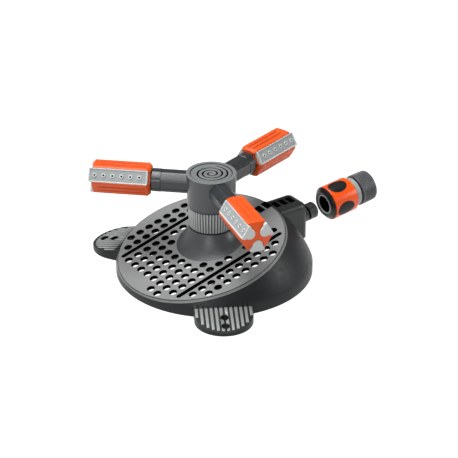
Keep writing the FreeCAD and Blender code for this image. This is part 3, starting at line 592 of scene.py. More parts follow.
def close_tree(tree: bpy.types.NodeTree, given: bpy.types.Node,
               geometry: bpy.types.NodeSocket) -> bpy.types.NodeTree:
    """End a tree with real geometry in its finish.

    Args:
        tree: The tree under construction.
        given: Its group input node.
        geometry: Socket with the instances.

    Returns:
        The finished tree.
    """
    solid = add(tree, "GeometryNodeRealizeInstances", {"Geometry": geometry})
    dressed = add(tree, "GeometryNodeSetMaterial", {
        "Geometry": solid.outputs["Geometry"], "Material": given.outputs["Finish"]})
    add(tree, "NodeGroupOutput", {"Geometry": dressed.outputs["Geometry"]})
    return tree


class Op(Enum):
    """Nodes that turn several values into one, with their settings."""

    VECTOR = ("ShaderNodeCombineXYZ", {})
    ADD = ("ShaderNodeMath", {"operation": "ADD"})
    SUBTRACT = ("ShaderNodeMath", {"operation": "SUBTRACT"})
    MULTIPLY = ("ShaderNodeMath", {"operation": "MULTIPLY"})
    DIVIDE = ("ShaderNodeMath", {"operation": "DIVIDE"})
    MODULO = ("ShaderNodeMath", {"operation": "MODULO"})
    FLOOR = ("ShaderNodeMath", {"operation": "FLOOR"})
    SQRT = ("ShaderNodeMath", {"operation": "SQRT"})
    SINE = ("ShaderNodeMath", {"operation": "SINE"})
    COSINE = ("ShaderNodeMath", {"operation": "COSINE"})
    MAXIMUM = ("ShaderNodeMath", {"operation": "MAXIMUM"})
    GREATER_THAN = ("ShaderNodeMath", {"operation": "GREATER_THAN"})


def feed(tree: bpy.types.NodeTree, op: Op, *values: Any) -> bpy.types.NodeSocket:
    """First output of a node, fed with numbers or sockets in order."""
    kind, settings = op.value
    return add(tree, kind, dict(enumerate(values)), **settings).outputs[0]


def instances(tree: bpy.types.NodeTree, points: bpy.types.NodeSocket,
              given: bpy.types.Node, euler: Sequence[Any] = (0.0, 0.0, 0.0),
              scale: Sequence[Any] = (1.0, 1.0, 1.0)) -> bpy.types.NodeSocket:
    """Put the tree's piece on every point.

    Args:
        tree: The tree under construction.
        points: Geometry with the points.
        given: Group input node with the socket Piece.
        euler: Turn of each piece, as three numbers or sockets.
        scale: Size of each piece, as three numbers or sockets.

    Returns:
        Socket with the instances.
    """
    piece = add(tree, "GeometryNodeObjectInfo", {"Object": given.outputs["Piece"]},
                transform_space="ORIGINAL")
    spin = add(tree, "FunctionNodeEulerToRotation", {"Euler": feed(tree, Op.VECTOR, *euler)})
    placed_pieces = add(tree, "GeometryNodeInstanceOnPoints", {
        "Points": points, "Instance": piece.outputs["Geometry"],
        "Rotation": spin.outputs["Rotation"], "Scale": feed(tree, Op.VECTOR, *scale)})
    return placed_pieces.outputs["Instances"]


def on_points() -> bpy.types.NodeTree:
    """Tree that puts a piece on every vertex of the host's own mesh."""
    tree, given = open_tree("on_points", {"Piece": "Object"})
    return close_tree(tree, given, instances(tree, given.outputs["Geometry"], given))


def round_array() -> bpy.types.NodeTree:
    """Tree that repeats a piece round the X axis, in rows along it."""
    tree, given = open_tree("round_array", {
        "Piece": "Object", "Around": "Int", "Rows": "Int", "Pitch": "Float",
        "Stagger": "Float", "Grow": "Float"})
    take = given.outputs
    count = feed(tree, Op.MULTIPLY, take["Around"], take["Rows"])
    line = add(tree, "GeometryNodeMeshLine", {"Count": count})
    index = add(tree, "GeometryNodeInputIndex").outputs["Index"]
    row = feed(tree, Op.FLOOR, feed(tree, Op.DIVIDE, index, take["Around"]))
    spot = feed(tree, Op.SUBTRACT, index, feed(tree, Op.MULTIPLY, row, take["Around"]))
    odd = feed(tree, Op.MULTIPLY, feed(tree, Op.MODULO, row, 2.0), take["Stagger"])
    step = feed(tree, Op.DIVIDE, 2 * math.pi, take["Around"])
    angle = feed(tree, Op.MULTIPLY, feed(tree, Op.ADD, spot, odd), step)
    moved = add(tree, "GeometryNodeSetPosition", {
        "Geometry": line.outputs["Mesh"],
        "Position": feed(tree, Op.VECTOR, feed(tree, Op.MULTIPLY, row, take["Pitch"]), 0.0, 0.0)})
    size = feed(tree, Op.ADD, 1.0, feed(tree, Op.MULTIPLY, row, take["Grow"]))
    made = instances(tree, moved.outputs["Geometry"], given, (angle, 0.0, 0.0),
                     (1.0, size, size))
    return close_tree(tree, given, made)


def fan_of_ribs() -> bpy.types.NodeTree:
    """Tree that lays ribs side by side, each as long as a round-ended field allows."""
    tree, given = open_tree("fan_of_ribs", {
        "Piece": "Object", "Cutter": "Object", "Ribs": "Int", "Pitch": "Float",
        "Start": "Float", "Centre": "Float", "Radius": "Float"})
    take = given.outputs
    line = add(tree, "GeometryNodeMeshLine", {"Count": take["Ribs"]})
    index = add(tree, "GeometryNodeInputIndex").outputs["Index"]
    half = feed(tree, Op.MULTIPLY, feed(tree, Op.SUBTRACT, take["Ribs"], 1.0), 0.5)
    across = feed(tree, Op.MULTIPLY, feed(tree, Op.SUBTRACT, index, half), take["Pitch"])
    room = feed(tree, Op.SUBTRACT, feed(tree, Op.MULTIPLY, take["Radius"], take["Radius"]),
                feed(tree, Op.MULTIPLY, across, across))
    reach = feed(tree, Op.SQRT, feed(tree, Op.MAXIMUM, room, 0.0))
    length = feed(tree, Op.SUBTRACT, feed(tree, Op.ADD, take["Centre"], reach), take["Start"])
    moved = add(tree, "GeometryNodeSetPosition", {
        "Geometry": line.outputs["Mesh"],
        "Position": feed(tree, Op.VECTOR, take["Start"], across, 0.0)})
    made = instances(tree, moved.outputs["Geometry"], given, scale=(length, 1.0, 1.0))
    real = add(tree, "GeometryNodeRealizeInstances", {"Geometry": made})
    holes = add(tree, "GeometryNodeObjectInfo", {"Object": take["Cutter"]})
    cut = add(tree, "GeometryNodeMeshBoolean", {
        0: real.outputs["Geometry"], 1: holes.outputs["Geometry"]},
        operation="DIFFERENCE", solver="EXACT")
    return close_tree(tree, given, cut.outputs["Mesh"])


def oval_field() -> bpy.types.NodeTree:
    """Tree that strews a piece over an oval wrapped round the X axis."""
    tree, given = open_tree("oval_field", {
        "Piece": "Object", "Length": "Float", "Width": "Float", "Columns": "Int",
        "Rows": "Int", "Radius": "Float"})
    take = given.outputs
    grid = add(tree, "GeometryNodeMeshGrid", {
        "Size X": take["Length"], "Size Y": take["Width"],
        "Vertices X": take["Columns"], "Vertices Y": take["Rows"]})
    place = add(tree, "ShaderNodeSeparateXYZ", {
        0: add(tree, "GeometryNodeInputPosition").outputs["Position"]})
    along = feed(tree, Op.DIVIDE, place.outputs["X"], take["Length"])
    across = feed(tree, Op.DIVIDE, place.outputs["Y"], take["Width"])
    far = feed(tree, Op.ADD, feed(tree, Op.MULTIPLY, along, along),
               feed(tree, Op.MULTIPLY, across, across))
    outside = feed(tree, Op.GREATER_THAN, far, 0.25)
    oval = add(tree, "GeometryNodeDeleteGeometry", {
        "Geometry": grid.outputs["Mesh"], "Selection": outside}, domain="POINT")
    angle = feed(tree, Op.DIVIDE, place.outputs["Y"], take["Radius"])
    spot = feed(tree, Op.VECTOR, place.outputs["X"],
                  feed(tree, Op.MULTIPLY, take["Radius"], feed(tree, Op.SINE, angle)),
                  feed(tree, Op.MULTIPLY, take["Radius"], feed(tree, Op.COSINE, angle)))
    noted = add(tree, "GeometryNodeStoreNamedAttribute", {
        "Geometry": oval.outputs["Geometry"], "Name": "lean", "Value": angle},
        data_type="FLOAT", domain="POINT")
    wrapped = add(tree, "GeometryNodeSetPosition", {
        "Geometry": noted.outputs["Geometry"], "Position": spot})
    lean = add(tree, "GeometryNodeInputNamedAttribute", {"Name": "lean"},
               data_type="FLOAT").outputs["Attribute"]
    made = instances(tree, wrapped.outputs["Geometry"], given,
                     (feed(tree, Op.MULTIPLY, lean, -1.0), 0.0, 0.0))
    return close_tree(tree, given, made)


def grown(name: str, tree: Callable[[], bpy.types.NodeTree], finish: Finish,
          sources: dict[str, bpy.types.Object], spots: Sequence[Point2] = (),
          **values: float) -> bpy.types.Object:
    """Run a tree and keep its result as a plain mesh.

    Args:
        name: Name of the piece.
        tree: Function that builds the tree.
        finish: Finish of the result.
        sources: Objects for the tree's object inputs; they are used up.
        spots: Places in the XY plane, in millimetres, for the host's own vertices.
        values: Numbers for its other inputs, by name.

    Returns:
        The piece, with no modifier left on it.
    """
    group = bpy.data.node_groups.get(tree.__name__) or tree()
    mesh = bpy.data.meshes.new(name)
    mesh.from_pydata([(x * MM, y * MM, 0.0) for x, y in spots], [], [])
    host = make_object(name, mesh)
    grower = host.modifiers.new("grow", "NODES")
    grower.node_group = group
    given = {**values, **sources, "Finish": finish.material()}
    for item in group.interface.items_tree:
        if item.in_out == "INPUT" and item.name in given:
            grower[item.identifier] = given[item.name]
    bpy.context.view_layer.update()
    ready = host.evaluated_get(bpy.context.evaluated_depsgraph_get())
    mesh = bpy.data.meshes.new_from_object(ready)
    host.modifiers.clear()
    host.data = mesh
    for source in sources.values():
        bpy.data.objects.remove(source)
    return host


# ---- base -------------------------------------------------------------------
@dataclass
class BaseShell:
    """Dished skirt, sloping perforated plate and what carries them."""

    tilt: float = 14.4
    plate_z: float = 29.9
    plate_x: float = -12.2
    plate_r: float = 82.0
    joint_w: float = 0.9        # dark joint line round the plate
    joint_t: float = 0.12
    joint_lift: float = 0.02
    pitch: float = 10.86
    hole_r: float = 3.98
    first_column: float = 21.8
    rows: Sequence[float] = (0.5, 1.5, 2.5, 3.5, 5.09, 6.09)    # in pitches
    bare_rows: Point2 = (-0.5, 3.5)
    hole_edge: float = 4.6
    hub_r: float = 38.4         # kept free of holes round the cone
    inlet_half: float = 30.0    # kept free of holes before the inlet
    collar_depth: float = 3.9
    collar_drop: float = 0.25
    collar_wall: float = 0.14
    slot_at: float = 47.24
    slot_half: float = 59.9
    slot_w: float = 5.0
    slot_depth: float = 6.0
    slot_wall: float = 0.25
    slot_clear: float = 0.01
    slot_steps: int = 20        # round each end
    pocket: Point2 = (6.5, 5.95)        # length and half width
    pocket_t: float = 0.6
    plate_floor: float = 0.35   # depth of the floors below the plate
    crest_floor: float = 1.0    # and below the crest
    plate_pockets: Sequence[float] = (71.45, 80.0)
    crest_pockets: Sequence[float] = (76.5, 85.0, 93.5)
    crest: float = 47.0
    hidden: Sequence[str] = ("rib_left", "rib_front", "inlet_channel", "water_elbow")
    segments: int = 160

    def plate_frame(self) -> Matrix:
        """Local frame on the plate's top, with +X up the slope."""
        return (Matrix.Translation(Vector((self.plate_x, 0, self.plate_z)) * MM)
                @ Matrix.Rotation(math.radians(-self.tilt), 4, "Y"))

    def joint_line(self) -> bpy.types.Object:
        """Dark line where the plate drops into the skirt."""
        outer = self.plate_r + self.joint_w / 2
        inner = outer - self.joint_w
        section = [(outer, -SUNK), (outer, -self.joint_t), (inner, self.joint_lift),
                   (inner, -SUNK)]
        rings = [on_spoke(2 * math.pi * at / self.segments, section)
                 for at in range(self.segments)]
        return placed(skin("plate_joint_line", rings, closed=True), self.plate_frame())

    def hole_centres(self) -> list[Point2]:
        """Centres of the plate's holes, in its own plane."""
        hub = -self.plate_x / math.cos(math.radians(self.tilt))
        found = []
        for row in [sign * row for row in self.rows for sign in (1, -1)]:
            for column in range(-1, int(2 * self.plate_r / self.pitch)):
                u = self.first_column - self.plate_r + column * self.pitch
                v = row * self.pitch
                bare = column < 0 and self.bare_rows[0] <= row <= self.bare_rows[1]
                before_inlet = u > hub and abs(v) < self.inlet_half
                near_hub = math.hypot(u - hub, v) < self.hub_r
                outside = math.hypot(u, v) > self.plate_r - self.hole_edge
                if not (bare or before_inlet or near_hub or outside):
                    found.append((u, v))
        return found

    def hole_collar(self) -> bpy.types.Object:
        """Thin dark sleeve of painted shade that lines a hole and stands out below the plate."""
        low = -self.collar_depth
        section = [(low, self.hole_r), (-self.collar_drop, self.hole_r),
                   (low, self.hole_r - self.collar_wall)]
        return upright("hole_collar_source", section, 24)

    def slot_liner(self, side: int) -> bpy.types.Object:
        """Dark wall of painted shade round one of the long slots."""
        outer = self.slot_w / 2 - self.slot_clear
        section = [(outer, -SUNK), (outer, -self.slot_depth),
                   (outer - self.slot_wall, -self.slot_depth)]
        reach = self.slot_half - 2 * self.slot_clear
        rings = []
        for at in range(2 * self.slot_steps + 2):
            far = at > self.slot_steps
            share = (at - (self.slot_steps + 1) * far) / self.slot_steps
            middle = (reach if far else -reach, side * self.slot_at, 0)
            rings.append(on_spoke(math.pi * share + math.pi * (0.5 + far), section, middle))
        return skin(f"slot_liner_{side}", rings, closed=True)

    def pocket_fill(self, place: Matrix) -> bpy.types.Object:
        """Dark floor of painted shade in a crest pocket, with its top at the frame's origin."""
        length, half = self.pocket
        size = Matrix.Diagonal((length * MM, 2 * half * MM, self.pocket_t * MM, 1.0))
        build = bmesh.new()
        bmesh.ops.create_cube(build, size=1.0, matrix=(
            place @ Matrix.Translation((0, 0, -self.pocket_t / 2 * MM)) @ size))
        return mesh_of("pocket_floor", build)

    def pocket_floors(self) -> bpy.types.Object:
        """Dark floors of painted shade in all pockets along the crest."""
        tilted = self.plate_frame()
        floors = [self.pocket_fill(tilted @ Matrix.Translation(
            (u * MM, 0, -self.plate_floor * MM)))
                  for u in self.plate_pockets]
        high = (self.crest - self.crest_floor) * MM
        floors += [self.pocket_fill(Matrix.Translation((x * MM, 0, high)))
                   for x in self.crest_pockets]
        return joined("crest_pocket_floors", floors)

    def build(self) -> None:
        """Build and dress the shell."""
        show_copy("skirt_shell", "base_skirt", GRAPHITE)
        show_copy("plate_with_holes", "perforated_plate", PLATE)
        show_copy("inlet_housing_shell", "inlet_housing", HOUSING)
        settle(self.joint_line(), SHADOW, "base")
        # Painted shade: dark sleeves line every hole of the plate.
        shade_sleeves = grown("hole_collars", on_points, SHADOW, {"Piece": self.hole_collar()},
                        self.hole_centres())
        liners = joined("slot_liners", [self.slot_liner(side) for side in (-1, 1)])
        for lining in (shade_sleeves, liners):
            settle(placed(lining, self.plate_frame()), SHADOW, "base")
        settle(self.pocket_floors(), SHADOW, "base")
        for node in self.hidden:
            keep(node, GRAPHITE)


@dataclass
class PegEar:
    """Ribbed ear on the rim, with two holes for ground pegs."""

    side: str
    angle: float
    shell_x: float = 3.2
    rim: float = 95.0
    top: float = 10.9
    fall: float = 0.22
    ribs: int = 12
    pitch: float = 4.6
    width: float = 2.9
    rise: float = 0.22
    root: float = 0.9
    start: float = 95.6
    centre: float = 101.6
    field_r: float = 26.0
    peg_at: Sequence[float] = (109.0, 120.6)
    peg_r: float = 3.9
    peg_rim: float = 0.55
    post_l: float = 12.0
    shade_span: Point2 = (-4.2, -0.6)
    # How far the rib's top has dropped at shares of its length.
    rib_end: Sequence[Point2] = ((0.0, 0.0), (0.93, 0.0), (0.975, 0.16), (1.0, 0.6))

    def top_frame(self) -> Matrix:
        """Local frame on the ear's sloping top, with +X outwards."""
        edge = Vector((self.rim, 0, self.top)) * MM
        return (Matrix.Translation(Vector((self.shell_x, 0, 0)) * MM)
                @ Matrix.Rotation(math.radians(self.angle), 4, "Z")
                @ Matrix.Translation(edge)
                @ Matrix.Rotation(math.atan(self.fall), 4, "Y")
                @ Matrix.Translation(Vector((-self.rim * MM, 0, 0))))

    def rib(self) -> bpy.types.Object:
        """Rib of unit length with rounded shoulders, for the tree to stretch."""
        half = self.width / 2
        rings = []
        for along, drop in self.rib_end:
            top = self.rise - drop
            section = rounded([(-half, -self.root), (half, -self.root), (half, top),
                               (-half, top)], [0, 0, 0.5, 0.5])
            rings.append([Vector((along, y * MM, z * MM)) for y, z in section])
        build = bmesh.new()
        bridge(build, rings)
        bmesh.ops.recalc_face_normals(build, faces=build.faces)
        for face in build.faces:
            face.smooth = True
        return raw_object("ear_rib_source", build)

    def peg_posts(self) -> bpy.types.Object:
        """Posts that keep the peg holes free of ribs."""
        build = bmesh.new()
        for at in self.peg_at:
            bmesh.ops.create_cone(
                build, cap_ends=True, segments=40, radius1=self.peg_r * MM,
                radius2=self.peg_r * MM, depth=self.post_l * MM,
                matrix=Matrix.Translation((at * MM, 0, 0)))
        return raw_object("peg_posts", build)

    def hole_rims(self) -> bpy.types.Object:
        """Rounded rims of the peg holes."""
        inner = self.peg_r - self.peg_rim
        section = rounded([(-self.root, inner), (self.rise, inner), (self.rise, self.peg_r),
                           (-self.root, self.peg_r)], self.rise)
        rims = [upright("rim", section, 48, at) for at in self.peg_at]
        return joined(f"peg_hole_rims_{self.side}", rims)

    def hole_shades(self) -> bpy.types.Object:
        """Dark walls of painted shade in the peg holes."""
        inner = self.peg_r - self.peg_rim
        low, high = self.shade_span
        section = [(low, inner - 0.1), (high, inner + 0.05), (high, inner + 0.1),
                   (low, inner + 0.1)]
        shades = [upright("shade", section, 40, at) for at in self.peg_at]
        return joined(f"peg_hole_shades_{self.side}", shades)

    def build(self) -> None:
        """Build and dress the ear."""
        show_copy(f"ear_body_{self.side}", f"ear_{self.side}", GRAPHITE)
        ribs = grown(f"ear_ribs_{self.side}", fan_of_ribs, RIB_GREY,
                     {"Piece": self.rib(), "Cutter": self.peg_posts()}, Ribs=self.ribs,
                     Pitch=self.pitch * MM, Start=self.start * MM, Centre=self.centre * MM,
                     Radius=self.field_r * MM)
        # The rims in black and the walls in flat black are painted shade at the peg holes.
        for piece, finish in ((ribs, RIB_GREY), (self.hole_rims(), BLACK),
                              (self.hole_shades(), SHADOW)):
            settle(placed(piece, self.top_frame()), finish, "base")


@dataclass
class WaterColumn:
    """Flared cone, riser and the inlet nipple with its parts."""

    inner: Sequence[str] = ("riser_tube", "rotor_retainer", "bearing_washer",
                            "filter_screen")
    inlet: tuple[float, float, float] = (110.0, 0.0, 26.0)
    grooves: Sequence[Point2] = ((2.05, 4.45), (8.35, 10.75))
    groove_r: float = 7.05

    def groove_shades(self) -> bpy.types.Object:
        """Dark floors of painted shade in the nipple's two grooves."""
        local = axis_matrix(Vector(self.inlet) * MM, joint("connector_slide")["axis"])
        bands = [band("band", groove, (self.groove_r - SUNK, self.groove_r))
                 for groove in self.grooves]
        return placed(joined("nipple_groove_floors", bands), local)

    def build(self) -> None:
        """Build and dress the column."""
        show_copy("flared_hub_cone", "hub_cone", CONE, sharp=50.0)
        show_copy("grooved_inlet_nipple", "inlet_nipple", NIPPLE)
        settle(self.groove_shades(), SHADOW, "base")
        show_copy("nipple_seal_ring", "nipple_o_ring", SEAL)
        for node in self.inner:
            keep(node, NATURAL)


@dataclass
class FlowCollar:
    """Ribbed ring that sets the water flow."""

    low: float = 48.6
    high: float = 70.8
    root: Point2 = (20.6, 21.8)
    inside: Point2 = (17.6, 18.8)
    ribs: int = 48
    rib_w: float = 1.85
    rib_h: float = 0.9
    edge: float = 0.7
    head_room: float = 1.0      # plain band over the ribs
    foot_room: float = 0.5
    # Share of the full rise at distances from a rib's end.
    rib_end: Sequence[Point2] = ((0.0, 0.15), (0.35, 0.75), (0.9, 1.0))
    # Half of the rib's round back, as shares of its half width and rise.
    rib_back: Sequence[Point2] = ((1.0, 0.25), (0.78, 0.75), (0.35, 1.0))

    def radius(self, height: float) -> float:
        """Root radius at a height above the collar's foot."""
        share = height / (self.high - self.low)
        return self.root[0] + (self.root[1] - self.root[0]) * share

    def rib(self) -> bpy.types.Object:
        """Upright rib with a round back and round ends, along local X."""
        start = self.low + self.foot_room
        end = self.high - self.head_room
        half = self.rib_w / 2
        ends = [(start + at, share) for at, share in self.rib_end]
        ends += [(end - at, share) for at, share in reversed(self.rib_end)]
        rings = []
        for at, share in ends:
            base = self.radius(at - self.low)
            rise = self.rib_h * share
            back = [(half, base - 0.5)]
            back += [(wide * half, base + high * rise) for wide, high in self.rib_back]
            rings.append(ring_at(at, back + [(-y, z) for y, z in reversed(back)]))
        return skin("collar_rib_source", rings, 60.0)

    def core(self) -> bpy.types.Object:
        """Plain ring behind the ribs, darker as painted shade between them."""
        section = rounded([(self.low, self.inside[0]), (self.high, self.inside[1]),
                           (self.high, self.root[1]), (self.low, self.root[0])],
                          [0.2, 0.2, self.edge, self.edge])
        return upright("flow_collar_core", section, 96)

    def build(self) -> None:
        """Build and dress the collar."""
        settle(self.core(), COLLAR_SHADE, "collar", ["flow_collar"])
        ribs = grown("flow_collar_ribs", round_array, COLLAR_GREY, {"Piece": self.rib()},
                     Around=self.ribs, Rows=1)
        settle(placed(ribs, UPRIGHT), COLLAR_GREY, "collar")
        keep("throttle_sleeve", NATURAL)


# ---- rotor ------------------------------------------------------------------
@dataclass
class Rotor:
    """Drum with its spiral cap, and the three arm tubes."""

    arms: int = 3
    cap_r: float = 19.9
    cap_top: float = 103.2
    cap_t: float = 2.6
    cap_edge: float = 0.35
    arm_start: float = 19.6     # inside the drum's wall
    arm_apothem: float = 10.3
    arm_round: float = 2.4
    arm_end: float = 56.6
    ring_l: float = 9.6
    ring_r: float = 11.1
    ring_edge: float = 0.6
    spigot_r: float = 8.0
    spigot_end: float = 76.0
    rim_in: float = 20.25
    rim_out: float = 24.02
    rim_top: float = 103.7
    rim_lift: float = 0.03
    spiral_start: float = 1.2
    spiral_pitch: float = 4.9
    spiral_turns: float = 3.1
    groove_w: float = 1.9
    groove_d: float = 0.9
    groove_lip: float = 0.12        # the groove's walls lean out to here
    groove_wall: float = 0.4        # width of a leaning wall
    inlay_clear: float = 0.22       # floor of painted shade, kept this far in from the groove's side
    inlay_at: float = 0.55          # its depth, as a share of the groove's
    inlay_t: float = 0.6
    inlay_steps: int = 72           # in each turn
    gap_span: Point2 = (-0.45, 0.28)        # joint line, from the cap's edge
    gap_lift: float = 0.06
    gap_t: float = 0.5
    spokes: int = 200
    rings: int = 96

    def groove_depth(self, radius: float, angle: float) -> float:
        """Depth of the spiral groove at a place on the cap.

        Args:
            radius: Distance from the spin axis.
            angle: Direction of the place, from 0 to a full turn.

        Returns:
            Depth below the cap's top.
        """
        gap = self.groove_w
        share = angle / (2 * math.pi)
        for lap in range(int(self.spiral_turns) + 1):
            if lap + share <= self.spiral_turns:
                middle = self.spiral_start + self.spiral_pitch * (lap + share)
                gap = min(gap, abs(radius - middle))
        inside = self.groove_w / 2 + self.groove_lip - gap
        return self.groove_d * max(0.0, min(1.0, inside / self.groove_wall))

    def loop(self, radius: float, drop: float | None = None) -> Ring:
        """Ring of the cap.

        Args:
            radius: Its distance from the spin axis.
            drop: Its depth below the cap's top; without it, the ring follows the groove.

        Returns:
            The ring, in metres.
        """
        ring = []
        for at in range(self.spokes):
            angle = 2 * math.pi * at / self.spokes
            depth = self.groove_depth(radius, angle) if drop is None else drop
            ring.append(Vector((radius * math.cos(angle), radius * math.sin(angle),
                                self.cap_top - depth)) * MM)
        return ring

    def cap(self) -> bpy.types.Object:
        """Cap with the spiral groove, as a closed dish of rings."""
        face_r = self.cap_r - self.cap_edge
        loops = [self.loop(0.02, self.cap_t), self.loop(self.cap_r, self.cap_t),
                 self.loop(self.cap_r, self.cap_edge)]
        loops += [self.loop(face_r * at / self.rings) for at in range(self.rings, 0, -1)]
        return skin("spiral_top_cap", loops, 50.0)

    def arm(self) -> bpy.types.Object:
        """Eight-sided arm with soft corners, its end ring and its spigot."""
        corner = self.arm_apothem / math.cos(math.pi / 8)
        outline = rounded([(corner * math.cos(math.pi * (at + 0.5) / 4),
                            corner * math.sin(math.pi * (at + 0.5) / 4)) for at in range(8)],
                          self.arm_round, 5)
        circle = [(y / math.hypot(y, z), z / math.hypot(y, z)) for y, z in outline]
        first, last, edge = self.arm_end - self.ring_l, self.arm_end, self.ring_edge
        low = self.ring_r - edge
        rings = [ring_at(at, outline) for at in (self.arm_start, first)]
        rings += [ring_at(at, [(y * radius, z * radius) for y, z in circle])
                  for at, radius in ((first, low), (first + edge, self.ring_r),
                                     (last - edge, self.ring_r), (last, low),
                                     (last, self.spigot_r), (self.spigot_end, self.spigot_r))]
        return skin("eight_sided_arm", rings, 26.0)

    def spiral_inlay(self) -> bpy.types.Object:
        """Dark floor of painted shade that follows the spiral groove."""
        steps = int(self.spiral_turns * self.inlay_steps)
        half = self.groove_w / 2 - self.inlay_clear
        high = self.cap_top - self.groove_d * self.inlay_at
        low = high - self.inlay_t
        rings = []
        for at in range(steps + 1):
            turn = self.spiral_turns * at / steps
            middle = self.spiral_start + self.spiral_pitch * turn
            section = [(middle - half, low), (middle - half, high), (middle + half, high),
                       (middle + half, low)]
            rings.append(on_spoke(2 * math.pi * turn, section))
        return skin("spiral_groove_floor", rings)

    def rim_face(self) -> bpy.types.Object:
        """Smooth upper face of the drum's rim, painted paler as painted light from above."""
        low, high = self.rim_top - SUNK, self.rim_top + self.rim_lift
        section = rounded([(low, self.rim_in), (high, self.rim_in), (high, self.rim_out),
                           (low, self.rim_out)], [0, 0.15, 0.3, 0])
        return upright("drum_rim_face", section, 128)

    def rim_gap(self) -> bpy.types.Object:
        """Dark joint line between the cap and the drum's rim."""
        inner, outer = [self.cap_r + edge for edge in self.gap_span]
        high = self.cap_top + self.gap_lift
        low = high - self.gap_t
        section = [(low, inner), (high, inner + 0.05), (high, outer), (low, outer)]
        return upright("cap_joint_line", section, 128)

    def build(self) -> None:
        """Build and dress the rotor."""
        show_copy("rotor_drum", "rotor_head", COLUMN, "rotor", 30.0)
        # Cap and rim face: painted light, paler where they face up.
        settle(self.cap(), TOP_LIT, "rotor", ["spiral_cap"])
        settle(self.spiral_inlay(), SHADOW, "rotor")
        settle(self.rim_gap(), SHADOW, "rotor")
        settle(self.rim_face(), TOP_LIT, "rotor")
        keep("rotor_seal", SEAL)
        for index in range(1, self.arms + 1):
            row = joint(f"nozzle_{index}_turn")
            arm = placed(self.arm(), axis_matrix((0.0, 0.0, row["pos_m"][2]), row["axis"]))
            arm.name = f"eight_sided_arm_{index}"
            settle(arm, ARM, "rotor", [f"arm_tube_{index}"])
            keep(f"arm_o_ring_{index}", SEAL)
            keep(f"arm_clip_{index}", STEEL)


